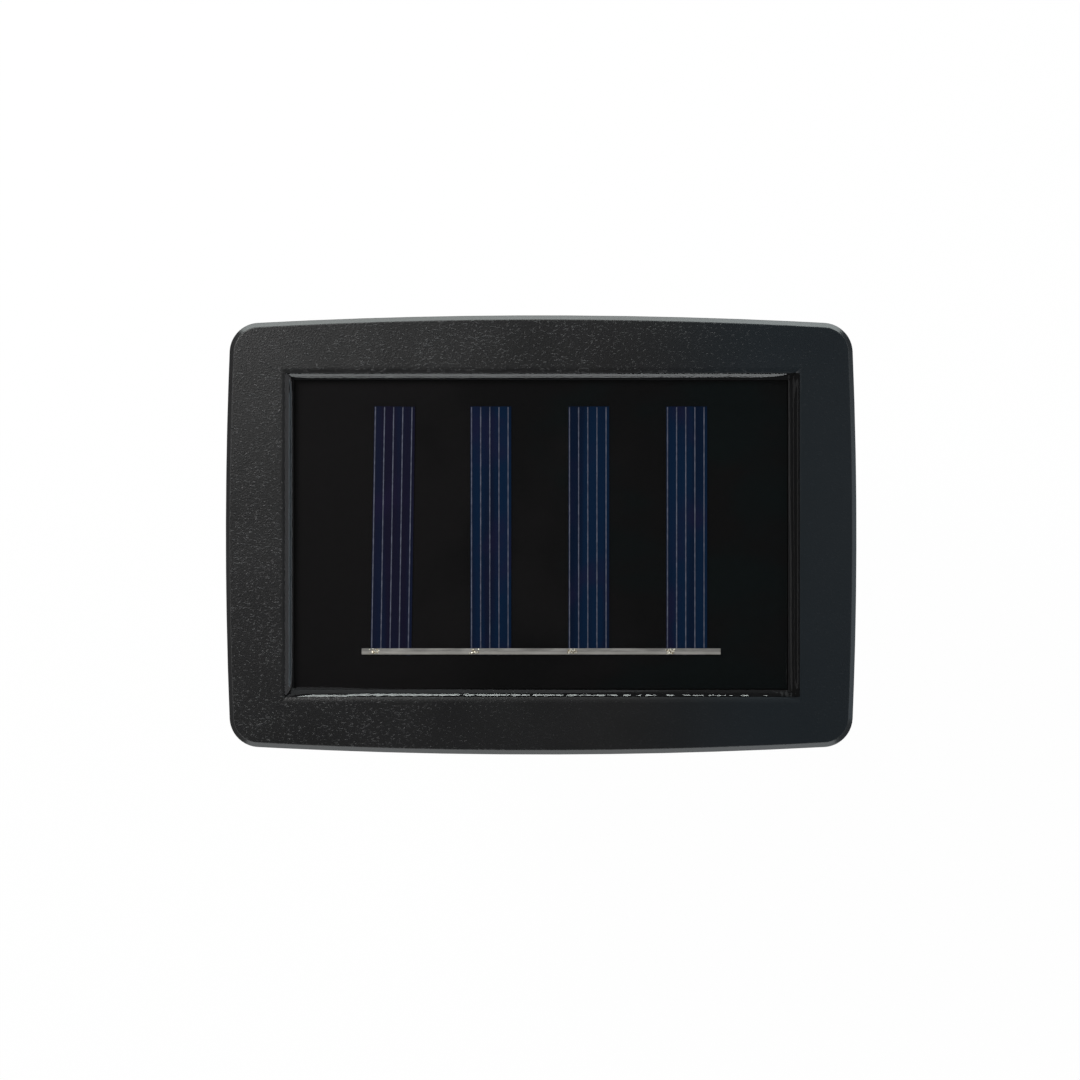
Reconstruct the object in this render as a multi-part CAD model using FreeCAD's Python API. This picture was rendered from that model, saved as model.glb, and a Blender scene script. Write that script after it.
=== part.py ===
"""Solar fence light: a lamp with its solar panel in the top, hung on a wall bracket.

Millimetres. +Z is up and +Y points to the fence, whose face is the plane y = 0. The origin is
the centre of the wall bracket's back face. The panel looks straight up, and the lens in the
sloping front looks forward and down.
"""
import FreeCAD, Part
import math
import os

Vec = FreeCAD.Vector
UP = Vec(0, 0, 1)
TO_FENCE = Vec(0, 1, 0)
RIGHT = Vec(1, 0, 0)
NEAR = 0.01

# ---- wall bracket: a foot on the fence and a wider flange that the lamp's claws grip
bracket_height = 37.0
bracket_foot_width = 44.0
bracket_foot_thick = 2.4
bracket_flange_width = 54.0
bracket_flange_thick = 2.4
bracket_lead_in = 1.2
fence_screw_spacing = 28.0
fence_screw_hole_r = 2.2
fence_screw_head_r = 4.5
fence_screw_head_depth = 2.3
slide_gap = 0.3
claw_thick = 3.0
shelf_thick = 1.6
shelf_gap = 0.4

# ---- top cover: the bowed frame, its skirt and the tray that holds the panel
cover_length = 110.0
cover_depth = 76.6
cover_height = 7.0
cover_bow_long = 1.57
cover_bow_short = 0.87
cover_corner = 5.2
cover_bevel_width = 0.9
cover_bevel_depth = 0.75
cover_bevel_edge = 0.2
skirt_edge = 0.4
cover_plate = 2.2
skirt_wall = 2.2
fence_gap = 0.6
frame_end_width = 11.7
frame_side_width = 11.15
pocket_depth = 3.3
pocket_roll = 2.0
tray_wall = 1.6
tray_floor = 1.5
lead_slot_length = 9.0
lead_slot_width = 2.4

# ---- solar panel in the pocket
panel_gap = 0.25
panel_thick = 1.0
cell_count = 4
cell_pitch = 17.15
cell_width = 7.15
cell_thick = 0.2
cell_row_shift = -0.25
cell_rear_margin = 4.65
cell_front_margin = 6.15
first_cell_lean = -0.9
finger_count = 5
finger_width = 0.18
finger_thick = 0.04
finger_margin = 0.12
finger_blank = 0.45
ribbon_overhang = 2.1
ribbon_width = 1.05
ribbon_thick = 0.12
ribbon_foot = 0.1
solder_length = 1.5
solder_thick = 0.12
resin_below_top = 1.2

# ---- housing: a tapered tub, open at the top, with a window in its sloping front
wall = 2.0
rim_gap = 0.4
cover_seal_thick = 1.0
cover_seal_width = 1.5
cover_seal_inset = 0.25
body_foot_width = 92.0
body_foot_depth = 44.9
body_corner = 4.0
body_least_corner = 0.6
body_edge = 0.8
claw_edge = 0.8

# ---- case screws, driven up from below through columns in the housing
case_screw_side_inset = 5.0
case_screw_rear_inset = 4.9
case_screw_front_inset = 8.0
case_screw_r = 1.25
case_screw_head_r = 2.3
case_screw_head_thick = 1.8
case_screw_bite = 7.3
column_r = 3.6
column_seat_thick = 8.0
column_bore_gap = 0.3
column_notch_gap = 0.5
boss_r = 2.6
boss_length = 8.5
boss_gap = 0.2
thread_gap = 0.05
boss_roof = 0.7

# ---- lens in the front window
window_width = 76.0
window_sill = 6.5
window_lintel = 3.5
window_corner = 3.0
lens_gap = 0.2
lens_recess = 0.3
lens_thick = 2.0
lens_flange = 2.0
lens_flange_thick = 1.4
lens_seal_thick = 0.5
lens_rim = 2.0
skin = 0.02

# ---- reflector, light-emitting diodes and their board
reflector_side_gap = 1.2
reflector_top_gap = 0.4
reflector_wall = 1.2
reflector_foot_gap = 5.6
reflector_lean = 6.4
reflector_front_gap = 6.4
led_count = 3
led_pitch = 20.0
led_r = 2.5
led_height = 8.6
led_flange_r = 2.9
led_flange_thick = 1.0
led_hole_gap = 0.15
led_board_length = 60.0
led_board_depth = 14.0
led_board_thick = 1.6
led_board_rear_gap = 8.0
led_boss_inset = 3.5
led_boss_r = 2.4

# ---- small screws that hold the boards
board_screw_r = 1.0
board_screw_head_r = 1.8
board_screw_head_thick = 0.9
board_screw_length = 4.2
recess_width = 0.55
recess_reach_share = 0.55
recess_depth_share = 0.6
tip_share = 0.6
tip_end_share = 0.4
crown_share = 0.45

# ---- battery compartment in the floor, and its door
battery_r = 7.25
battery_length = 50.5
battery_edge = 0.6
battery_cap_r = 2.75
battery_cap_length = 1.0
battery_side_gap = 0.55
battery_end_gap = 0.05
battery_lift = 0.8
compartment_wall = 2.0
compartment_rear_pad = 0.6
contact_thick = 0.4
contact_width = 9.0
contact_height = 12.0
contact_tag_width = 2.4
contact_tag_rise = 1.8
contact_slot_gap = 0.2
spring_length = 5.7
spring_r = 3.4
spring_wire_r = 0.35
spring_turns = 3
door_lap = 1.3
door_gap = 0.3
door_thick = 1.3
door_seal_thick = 0.5
door_rib_thick = 1.2
door_rib_gap = 0.3
door_rib_x = 17.0
door_grip_count = 4
door_grip_x = -24.0
door_grip_pitch = 2.6
door_grip_length = 9.0
door_grip_r = 1.6
door_grip_depth = 0.5
door_tab_length = 7.2
door_tab_width = 8.0
door_tab_shift = 3.0
door_tab_pad = 1.8
door_boss_r = 2.8
door_boss_height = 6.5
door_screw_r = 1.2
door_screw_head_r = 2.3
door_screw_length = 5.5

# ---- control board on the floor, with the slide switch under it
board_length = 52.0
board_thick = 1.4
board_lift = 5.1
board_x = 4.0
board_rear_gap = 2.1
board_front_gap = 1.8
board_boss_r = 2.4
switch_length = 9.0
switch_width = 5.0
switch_height = 4.4
switch_offset = 10.0
chip_offset = 2.0
inductor_offset = 8.0
capacitor_offset = 12.0
knob_length = 2.4
knob_width = 2.4
knob_collar = 0.9
knob_collar_thick = 0.35
knob_gap = 0.3
knob_short = 0.3
switch_travel = 2.5
switch_dish = 0.8
switch_dish_margin = 2.2

# ---- wires inside the case
wire_r = 0.6
wire_pair_pitch = 4.0
wire_clearance = 3.0
panel_pad_offset = 6.0
led_pad_offset = 14.0
battery_pad_inset = 7.0

# ---- heights and depths that follow from the sizes above
bracket_top = bracket_height / 2
body_bottom = -bracket_height / 2
floor_top = body_bottom + wall
in_floor = body_bottom + wall / 2
cover_bottom = bracket_top + shelf_thick + shelf_gap
cover_top = cover_bottom + cover_height
plate_under = cover_top - cover_plate
rim_z = plate_under - cover_seal_thick
pocket_floor = cover_top - pocket_depth
tray_under = pocket_floor - tray_floor
resin_top = cover_top - resin_below_top
panel_top = pocket_floor + panel_thick
cell_top = panel_top + cell_thick
finger_top = cell_top + finger_thick
ribbon_top = finger_top + ribbon_thick
pocket_length = cover_length - 2 * frame_end_width
pocket_width = cover_depth - 2 * frame_side_width
finger_pitch = (cell_width - finger_margin - finger_width - finger_blank) / (finger_count - 1)
ribbon_length = (cell_count - 1) * cell_pitch + cell_width + 2 * ribbon_overhang

cover_rear = -fence_gap
cover_front = cover_rear - cover_depth
cover_mid = (cover_rear + cover_front) / 2
bracket_thick = bracket_foot_thick + bracket_flange_thick
body_rear = -(bracket_thick + slide_gap)
body_foot_front = body_rear - body_foot_depth
body_rim_front = cover_front + skirt_wall + rim_gap
body_rim_half = cover_length / 2 - skirt_wall - rim_gap
window_low = body_bottom + window_sill
window_high = cover_bottom - window_lintel
case_screw_x = body_foot_width / 2 - case_screw_side_inset
case_screw_rear_y = body_rear - case_screw_rear_inset
case_screw_front_y = body_foot_front + case_screw_front_inset

battery_z = floor_top + battery_lift + battery_r
cavity_half = (battery_length + spring_length + battery_end_gap) / 2 + contact_thick
cavity_rear = body_rear - wall - compartment_rear_pad
battery_y = cavity_rear - battery_side_gap - battery_r
cavity_front = battery_y - battery_r - battery_side_gap
cavity_top = battery_z + battery_r + battery_side_gap
roof_top = cavity_top + compartment_wall
door_recess = door_thick + door_seal_thick
door_screw_x = cavity_half + door_lap + door_tab_length / 2
door_screw_y = battery_y - door_tab_shift

reflector_width = window_width - 2 * reflector_side_gap
reflector_foot = body_foot_front + reflector_foot_gap
roof_rear = reflector_foot + reflector_lean
led_board_rear = roof_rear - led_board_rear_gap
led_row_y = led_board_rear - led_board_depth / 2
board_rear = cavity_front - compartment_wall - board_rear_gap
board_front = reflector_foot + board_front_gap
board_mid = (board_rear + board_front) / 2
switch_x = board_x + switch_offset
board_under = floor_top + board_lift
board_top = board_under + board_thick
switch_under = board_under - switch_height

boss_under = tray_under - boss_length
column_top = boss_under - boss_gap
screw_seat = column_top - column_seat_thick
case_screw_length = column_seat_thick + boss_gap + case_screw_bite

reflector_top = window_high - reflector_top_gap
led_boss_x = led_board_length / 2 - led_boss_inset
led_board_under = reflector_top + led_flange_thick
led_board_top = led_board_under + led_board_thick


# ---- plain shapes --------------------------------------------------------------------
def box(x_span, y_span, z_span):
    """Box between two coordinates on each axis, given in either order."""
    spans = (sorted(x_span), sorted(y_span), sorted(z_span))
    sizes = [high - low for low, high in spans]
    return Part.makeBox(*sizes, Vec(*[low for low, high in spans]))


def rod(radius, foot, length, axis=UP):
    """Cylinder that starts at foot and runs along axis."""
    return Part.makeCylinder(radius, length, Vec(*foot), axis)


def prism_x(points, half_length):
    """Solid with an outline in Y and Z, from -half_length to half_length in X."""
    corners = [Vec(-half_length, y, z) for y, z in points]
    face = Part.Face(Part.makePolygon(corners + corners[:1]))
    return face.extrude(Vec(2 * half_length, 0, 0))


def bowed_side(start, end, crown):
    """Arc from start to end through crown, or a line where crown lies on it."""
    if crown.distanceToLine(start, end - start) < NEAR:
        return Part.makeLine(start, end)
    return Part.Arc(start, crown, end).toShape()


def bowed_face(half_x, rear, front, bow_end, bow_rear, bow_front, corner, z):
    """Rounded four-sided face whose sides bow outwards. Its sizes are those at mid-side."""
    corner_x = half_x - bow_end
    rear_y = rear - bow_rear
    front_y = front + bow_front
    mid_y = (rear + front) / 2
    rear_ends = [Vec(-corner_x, rear_y, z), Vec(corner_x, rear_y, z)]
    front_ends = [Vec(corner_x, front_y, z), Vec(-corner_x, front_y, z)]
    points = rear_ends + front_ends
    crowns = [Vec(0, rear, z), Vec(half_x, mid_y, z), Vec(0, front, z), Vec(-half_x, mid_y, z)]
    sides = [bowed_side(points[i], points[(i + 1) % 4], crowns[i]) for i in range(4)]
    sharp = Part.Face(Part.Wire(sides))
    return sharp.makeOffset2D(-corner).makeOffset2D(corner)


def arc_under(start, peak, end):
    """Arc that touches start-peak and peak-end, which are equally long, at start and end."""
    middle = (start + end) / 2
    flatness = start.distanceToPoint(middle) / start.distanceToPoint(peak)
    crown = peak + (middle - peak) / (1 + flatness)
    return Part.Arc(start, crown, end).toShape()


def tube(edges, radius):
    """Round wire along a path of edges, of which each touches the next."""
    path = Part.Wire(edges)
    start = edges[0].valueAt(edges[0].FirstParameter)
    along = edges[0].tangentAt(edges[0].FirstParameter)
    ring = Part.Wire(Part.makeCircle(radius, start, along))
    return path.makePipeShell([ring], True, False)


def lead(points):
    """Insulated wire along points: straight runs joined by arcs as large as the runs allow."""
    share = 0.45
    spots = [Vec(*point) for point in points]
    edges = []
    start = spots[0]
    for before, here, after in zip(spots, spots[1:], spots[2:]):
        reach = share * min(here.distanceToPoint(before), here.distanceToPoint(after))
        arc_in = here + (before - here).normalize() * reach
        arc_out = here + (after - here).normalize() * reach
        edges += [Part.makeLine(start, arc_in), arc_under(arc_in, here, arc_out)]
        start = arc_out
    edges.append(Part.makeLine(start, spots[-1]))
    return tube(edges, wire_r)


def quarter_turn(start, start_along, end, end_along):
    """Two arcs from start to end that leave and arrive in the given unit directions."""
    span = end - start
    lean = start_along + end_along
    lag = span.dot(lean)
    spare = 4 - lean.dot(lean)
    reach = (math.sqrt(lag * lag + spare * span.dot(span)) - lag) / spare
    first_peak = start + start_along * reach
    last_peak = end - end_along * reach
    joint = (first_peak + last_peak) / 2
    return [arc_under(start, first_peak, joint), arc_under(joint, last_peak, end)]


def coil(radius, wire, height, turns):
    """Upright coil spring that starts at the origin's height."""
    count = 4 * turns
    spots = []
    for index in range(count + 1):
        angle = index * math.pi / 2
        ahead = Vec(-math.sin(angle), math.cos(angle), height / (2 * math.pi * turns * radius))
        place = Vec(radius * math.cos(angle), radius * math.sin(angle), height * index / count)
        spots.append((place, ahead.normalize()))
    edges = []
    for before, after in zip(spots, spots[1:]):
        edges += quarter_turn(*before, *after)
    return tube(edges, wire)


def cross_recess(head_r, head_thick, foot):
    """Cutter for the cross slot in a screw head, sunk upwards from foot."""
    reach = recess_reach_share * head_r
    depth = recess_depth_share * head_thick
    slot = box((-reach, reach), (-recess_width / 2, recess_width / 2), (0, depth))
    return slot.fuse(slot.rotated(Vec(), UP, 90)).translated(Vec(*foot))


# ---- the tapered body ----------------------------------------------------------------
def along_height(z, at_foot, at_rim):
    """Value at height z of what runs straight from the body's foot to its rim."""
    share = (z - body_bottom) / (rim_z - body_bottom)
    return at_foot + share * (at_rim - at_foot)


def front_y(z):
    """The body's outer front at mid-width, at height z."""
    return along_height(z, body_foot_front, body_rim_front)


def body_section(half_x, front, inset, z):
    """Level section of the body: flat at the rear, and bowed at the front and ends."""
    corner = max(body_corner - inset, body_least_corner)
    rear = body_rear - inset
    return bowed_face(half_x - inset, rear, front + inset, cover_bow_short, 0, cover_bow_long, corner, z)


def rim_section(inset):
    return body_section(body_rim_half, body_rim_front, inset, rim_z)


def tapered_body(inset):
    """The body's full outer form, drawn in by inset on every side but the top and bottom."""
    foot = body_section(body_foot_width / 2, body_foot_front, inset, body_bottom)
    return Part.makeLoft([foot.OuterWire, rim_section(inset).OuterWire], True, True)


def front_slab(width, low, high, corner):
    """Block that cuts a round-cornered window of this size out of the sloping front."""
    inner_y = body_foot_front + 2 * wall + lens_flange_thick
    block = box((-width / 2, width / 2), (inner_y, cover_front), (low, high))
    depth = block.BoundBox.YLength
    return block.makeFillet(corner, [edge for edge in block.Edges if edge.BoundBox.YLength > depth / 2])


def case_screw_places():
    """Centres of the four case screws, seen from above."""
    rows = (case_screw_rear_y, case_screw_front_y)
    return [(side * case_screw_x, y) for y in rows for side in (-1, 1)]


# ---- wall bracket --------------------------------------------------------------------
def wall_bracket():
    foot_half = bracket_foot_width / 2
    flange_half = bracket_flange_width / 2
    heights = (body_bottom, bracket_top)
    foot = box((-foot_half, foot_half), (-bracket_foot_thick, 0), heights)
    flange = box((-flange_half, flange_half), (-bracket_thick, -bracket_foot_thick), heights)
    top_edges = [edge for edge in flange.Edges if abs(edge.BoundBox.ZMin - bracket_top) < NEAR]
    corners = [edge for edge in top_edges if edge.BoundBox.XLength < NEAR]
    bracket = foot.fuse(flange.makeChamfer(bracket_lead_in, corners))
    for side in (-1, 1):
        centre = Vec(side * fence_screw_spacing / 2, -bracket_thick, 0)
        hole = rod(fence_screw_hole_r, centre, bracket_thick, TO_FENCE)
        sink = Part.makeCone(fence_screw_head_r, fence_screw_hole_r, fence_screw_head_depth, centre, TO_FENCE)
        bracket = bracket.cut(hole).cut(sink)
    return bracket.removeSplitter()


# ---- top cover -----------------------------------------------------------------------
def cover_face(inset, z):
    """The cover's bowed outline at height z, drawn in by inset."""
    return bowed_face(
        cover_length / 2 - inset, cover_rear - inset, cover_front + inset,
        cover_bow_short, cover_bow_long, cover_bow_long, cover_corner - inset, z,
    )


def cover_block(inset, low, high):
    """Upright block with the cover's outline, drawn in by inset."""
    return cover_face(inset, low).extrude(UP * (high - low))


def bevelled_blank():
    """The cover's full outer form, with a soft-edged bevel round its top."""
    bevel_foot = cover_top - cover_bevel_depth
    outlines = [cover_face(0, bevel_foot), cover_face(cover_bevel_width, cover_top)]
    bevel = Part.makeLoft([outline.OuterWire for outline in outlines], True, True)
    blank = cover_block(0, cover_bottom, bevel_foot).fuse(bevel).removeSplitter()
    level = [edge for edge in blank.Edges if edge.BoundBox.ZLength < NEAR]
    bevel_edges = [edge for edge in level if edge.BoundBox.ZMin > bevel_foot - NEAR]
    return blank.makeFillet(cover_bevel_edge, bevel_edges)


def rolled_profile(half, place):
    """Outline of the pocket across one axis: upright sides that roll outwards at the top."""
    roll_foot = cover_top - pocket_roll
    bend = pocket_roll * (1 - math.sin(math.radians(45)))
    points = {
        "foot": (half, pocket_floor),
        "roll_foot": (half, roll_foot),
        "roll_mid": (half + bend, cover_top - bend),
        "roll_top": (half + pocket_roll, cover_top),
    }
    right = {name: place(u, z) for name, (u, z) in points.items()}
    left = {name: place(-u, z) for name, (u, z) in points.items()}
    edges = [
        Part.makeLine(left["foot"], right["foot"]),
        Part.makeLine(right["foot"], right["roll_foot"]),
        Part.Arc(right["roll_foot"], right["roll_mid"], right["roll_top"]).toShape(),
        Part.makeLine(right["roll_top"], left["roll_top"]),
        Part.Arc(left["roll_top"], left["roll_mid"], left["roll_foot"]).toShape(),
        Part.makeLine(left["roll_foot"], left["foot"]),
    ]
    return Part.Face(Part.Wire(edges))


def pocket_space():
    """Space inside the pocket: mitred at its sharp corners, with its upper edge rolled over."""
    across = rolled_profile(pocket_length / 2, lambda u, z: Vec(u, cover_front, z))
    along = rolled_profile(pocket_width / 2, lambda u, z: Vec(-cover_length / 2, cover_mid + u, z))
    return across.extrude(TO_FENCE * cover_depth).common(along.extrude(RIGHT * cover_length))


def frame_and_skirt():
    shell = bevelled_blank().cut(cover_block(skirt_wall, cover_bottom, plate_under))
    lip = [edge for edge in shell.Edges if abs(edge.BoundBox.ZMax - cover_bottom) < NEAR]
    return shell.makeFillet(skirt_edge, lip)


def tray_block():
    """The tray round the pocket, before the pocket is cut out of it."""
    half_x = pocket_length / 2 + tray_wall
    half_y = pocket_width / 2 + tray_wall
    return box((-half_x, half_x), (cover_mid - half_y, cover_mid + half_y), (tray_under, plate_under))


def lead_slot():
    """Slot in the tray's floor for the panel's two wires."""
    half_x = lead_slot_length / 2
    half_y = lead_slot_width / 2
    middle = panel_lead_y()
    return box((-half_x, half_x), (middle - half_y, middle + half_y), (tray_under, pocket_floor))


def top_cover():
    """Frame, skirt and tray, with bosses for the case screws and the diodes' board."""
    bosses = []
    holes = []
    for x, y in case_screw_places():
        bosses.append(rod(boss_r, (x, y, boss_under), plate_under - boss_under))
        holes.append(rod(case_screw_r + thread_gap, (x, y, boss_under), boss_length - boss_roof))
    board_hole = board_screw_length - led_board_thick + thread_gap
    for x, y in led_board_screw_places():
        bosses.append(rod(led_boss_r, (x, y, led_board_top), pocket_floor - led_board_top))
        holes.append(rod(board_screw_r + thread_gap, (x, y, led_board_top), board_hole))
    cover = frame_and_skirt().fuse([tray_block()] + bosses)
    return cover.cut([pocket_space(), lead_slot()] + holes).removeSplitter()


def cover_seal():
    """Gasket that lies on the housing's rim, under the cover's frame."""
    outer = rim_section(cover_seal_inset)
    inner = rim_section(cover_seal_inset + cover_seal_width)
    return outer.cut(inner).extrude(UP * cover_seal_thick)


# ---- solar panel ---------------------------------------------------------------------
def panel_lead_y():
    """Where the panel's two wires leave the underside of its board."""
    return board_mid + wire_pair_pitch / 2


def cell_x(index):
    """Centre of one cell strip."""
    return cell_row_shift + (index - (cell_count - 1) / 2) * cell_pitch


def cell_span_y():
    """Front and rear ends of the cell strips."""
    return (cover_mid - pocket_width / 2 + cell_front_margin, cover_mid + pocket_width / 2 - cell_rear_margin)


def ribbon_span_y():
    """The ribbon lies across the strips' front ends."""
    low = cell_span_y()[0] + ribbon_foot
    return (low, low + ribbon_width)


def panel_board():
    half_x = pocket_length / 2 - panel_gap
    half_y = pocket_width / 2 - panel_gap
    return box((-half_x, half_x), (cover_mid - half_y, cover_mid + half_y), (pocket_floor, panel_top))


def leaned(shape, index):
    """What belongs to one strip. The first strip lies askew, turned about its middle."""
    if index > 0:
        return shape
    low, high = cell_span_y()
    return shape.rotated(Vec(cell_x(index), (low + high) / 2, 0), UP, first_cell_lean)


def solar_cell(index):
    half = cell_width / 2
    strip = box((cell_x(index) - half, cell_x(index) + half), cell_span_y(), (panel_top, cell_top))
    return leaned(strip, index)


def finger_x(index, finger):
    """Centre of one printed line on a strip. The first lies at the strip's left edge."""
    return cell_x(index) - cell_width / 2 + finger_margin + finger_width / 2 + finger * finger_pitch


def cell_fingers():
    low, high = cell_span_y()
    lines = []
    for index in range(cell_count):
        for finger in range(finger_count):
            left = finger_x(index, finger) - finger_width / 2
            line = box((left, left + finger_width), (low, high - finger_margin), (cell_top, finger_top))
            lines.append(leaned(line, index))
    return Part.makeCompound(lines)


def busbar_ribbon():
    return box((-ribbon_length / 2, ribbon_length / 2), ribbon_span_y(), (finger_top, ribbon_top))


def solder_joints():
    """Beads on the ribbon, where it meets each strip's first line."""
    heights = (ribbon_top, ribbon_top + solder_thick)
    beads = []
    for index in range(cell_count):
        left = finger_x(index, 0) - finger_width / 2
        beads.append(box((left, left + solder_length), ribbon_span_y(), heights))
    return Part.makeCompound(beads)


def potting_resin():
    """Clear resin that fills the pocket over and around the panel."""
    half = cover_length / 2
    level = box((-half, half), (cover_front, cover_rear), (pocket_floor, resin_top))
    buried = [panel_board(), cell_fingers(), busbar_ribbon(), solder_joints()]
    buried += [solar_cell(index) for index in range(cell_count)]
    return level.common(pocket_space()).cut(buried)


# ---- housing -------------------------------------------------------------------------
def claws():
    """Two hooks behind the housing that run down the bracket's flange, and the shelf above."""
    side_inner = bracket_flange_width / 2 + slide_gap
    side_outer = side_inner + claw_thick
    hook_inner = bracket_foot_width / 2 + slide_gap
    merge = wall / 2
    hook_rear = -slide_gap
    hook_front = -(bracket_foot_thick - slide_gap)
    heights = (body_bottom, bracket_top + shelf_thick)
    block = box((-side_outer, side_outer), (body_rear - merge, hook_rear), heights)
    rear_edges = [edge for edge in block.Edges if abs(edge.BoundBox.YMin - hook_rear) < NEAR]
    upright = [edge for edge in rear_edges if edge.BoundBox.XLength < NEAR]
    block = block.makeFillet(claw_edge, upright)
    channel = (body_bottom, bracket_top)
    block = block.cut(box((-side_inner, side_inner), (body_rear - merge, hook_front), channel))
    return block.cut(box((-hook_inner, hook_inner), (hook_front, hook_rear), channel))


def door_outline(shrink, low, high):
    """Block with the battery door's outline: the compartment's mouth and a tab for the screw."""
    reach = door_lap - shrink
    half = cavity_half + reach
    plate = box((-half, half), (cavity_front - reach, cavity_rear + reach), (low, high))
    tab_half = door_tab_width / 2 - shrink
    tab_end = cavity_half + door_lap + door_tab_length - shrink
    tab = box((0, tab_end), (door_screw_y - tab_half, door_screw_y + tab_half), (low, high))
    return plate.fuse(tab).removeSplitter()


def compartment_block():
    """Walls and roof round the battery."""
    half = cavity_half + compartment_wall
    return box((-half, half), (cavity_front - compartment_wall, body_rear - wall / 2), (in_floor, roof_top))


def compartment_space():
    return box((-cavity_half, cavity_half), (cavity_front, cavity_rear), (body_bottom, cavity_top))


def contact_tag_slots():
    """Openings in the compartment's roof for the two contacts' solder tags."""
    half = contact_tag_width / 2 + contact_slot_gap
    inner = cavity_half - contact_thick - contact_slot_gap
    return [
        box((side * inner, side * cavity_half), (battery_y - half, battery_y + half), (cavity_top, roof_top))
        for side in (-1, 1)
    ]


def board_boss_places():
    """Centres of the two screws that hold the control board."""
    inset = board_boss_r + knob_gap
    left = board_x - board_length / 2 + inset
    right = board_x + board_length / 2 - inset
    return [(left, board_front + inset), (right, board_mid)]


def switch_slot():
    """Slot for the switch's knob and the dish round it, in the underside."""
    travel_low = switch_x - knob_length / 2 - knob_gap
    travel_high = switch_x + switch_travel + knob_length / 2 + knob_gap
    half = knob_width / 2 + knob_gap
    slot = box((travel_low, travel_high), (board_mid - half, board_mid + half), (body_bottom, floor_top))
    dish = box(
        (travel_low - switch_dish_margin, travel_high + switch_dish_margin),
        (board_mid - half - switch_dish_margin, board_mid + half + switch_dish_margin),
        (body_bottom, body_bottom + switch_dish),
    )
    upright = [edge for edge in dish.Edges if edge.BoundBox.ZLength > switch_dish / 2]
    return slot.fuse(dish.makeFillet(switch_dish_margin / 2, upright))


def tub():
    """The housing's floor and walls."""
    outer = tapered_body(0)
    foot_edges = [edge for edge in outer.Edges if abs(edge.BoundBox.ZMax - body_bottom) < NEAR]
    half = cover_length / 2
    above_floor = box((-half, half), (cover_front, cover_rear), (floor_top, rim_z))
    return outer.makeFillet(body_edge, foot_edges).cut(tapered_body(wall).common(above_floor))


def door_tab_pad_block():
    """Thicker floor over the recess for the door's tab."""
    margin = wall / 2
    half_y = door_tab_width / 2 + margin
    x_span = (cavity_half, cavity_half + door_lap + door_tab_length + margin)
    return box(x_span, (door_screw_y - half_y, door_screw_y + half_y), (in_floor, floor_top + door_tab_pad))


def screw_columns():
    """Columns for the case screws, where they stay within the walls."""
    within = tapered_body(wall / 2)
    height = column_top - in_floor
    return [rod(column_r, (x, y, in_floor), height).common(within) for x, y in case_screw_places()]


def floor_bosses():
    """Bosses for the door's screw and the control board's two."""
    height = floor_top + door_boss_height - in_floor
    bosses = [rod(door_boss_r, (door_screw_x, door_screw_y, in_floor), height)]
    for x, y in board_boss_places():
        bosses.append(rod(board_boss_r, (x, y, in_floor), board_under - in_floor))
    return bosses


def screw_bores():
    """Bores for the case screws, the control board's screws and the door's."""
    door_depth = door_recess + door_screw_length
    bores = [rod(door_screw_r + door_gap, (door_screw_x, door_screw_y, body_bottom), door_depth)]
    for x, y in case_screw_places():
        bores.append(rod(case_screw_head_r + column_bore_gap, (x, y, body_bottom), screw_seat - body_bottom))
        bores.append(rod(case_screw_r + column_bore_gap, (x, y, screw_seat), column_top - screw_seat))
    board_depth = board_screw_length - board_thick + thread_gap
    for x, y in board_boss_places():
        bores.append(rod(board_screw_r + thread_gap, (x, y, board_under - board_depth), board_depth))
    return bores


def housing():
    added = [claws(), compartment_block(), door_tab_pad_block()] + screw_columns() + floor_bosses()
    cutters = [
        front_slab(window_width, window_low, window_high, window_corner),
        compartment_space(),
        door_outline(0, body_bottom, body_bottom + door_recess),
        switch_slot(),
    ]
    cutters += contact_tag_slots() + screw_bores()
    return tub().fuse(added).cut(cutters).removeSplitter()


# ---- lens ----------------------------------------------------------------------------
def front_layer(inset_out, inset_in, grow):
    """The sloping front between two depths, within the window grown by so much all round."""
    slab = front_slab(window_width + 2 * grow, window_low - grow, window_high + grow, window_corner + grow)
    return tapered_body(inset_out).cut(tapered_body(inset_in)).common(slab)


def lens_depths():
    """Depths of the lens's flange, measured from the housing's outer face."""
    flange_out = wall + lens_seal_thick
    return flange_out, flange_out + lens_flange_thick


def lens():
    """Frosted diffuser: a plate that fills the window, stepped back to a flange behind the wall."""
    flange_out, flange_in = lens_depths()
    plug = front_layer(lens_recess, flange_in, -lens_gap)
    flange = front_layer(flange_out, flange_in, lens_flange)
    hollow = front_layer(lens_recess + lens_thick, flange_in + wall, -lens_gap - lens_rim)
    return plug.fuse(flange).cut(hollow).removeSplitter()


def lens_seal():
    """Gasket between the lens's flange and the inside of the front wall."""
    ring = front_layer(wall + skin, wall + lens_seal_thick - skin, lens_flange)
    return ring.cut(front_slab(window_width, window_low, window_high, window_corner))


# ---- reflector and light-emitting diodes ---------------------------------------------
def led_board_screw_places():
    return [(side * led_boss_x, led_row_y) for side in (-1, 1)]


def reflector_points():
    """Corners of the reflector's side view, in Y and Z."""
    return {
        "foot_rear": (reflector_foot, floor_top),
        "foot_front": (reflector_foot - reflector_wall, floor_top),
        "roof_rear": (roof_rear, reflector_top),
        "roof_front": (front_y(reflector_top) + reflector_front_gap, reflector_top),
    }


def led_places():
    return [((index - (led_count - 1) / 2) * led_pitch, led_row_y) for index in range(led_count)]


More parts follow.
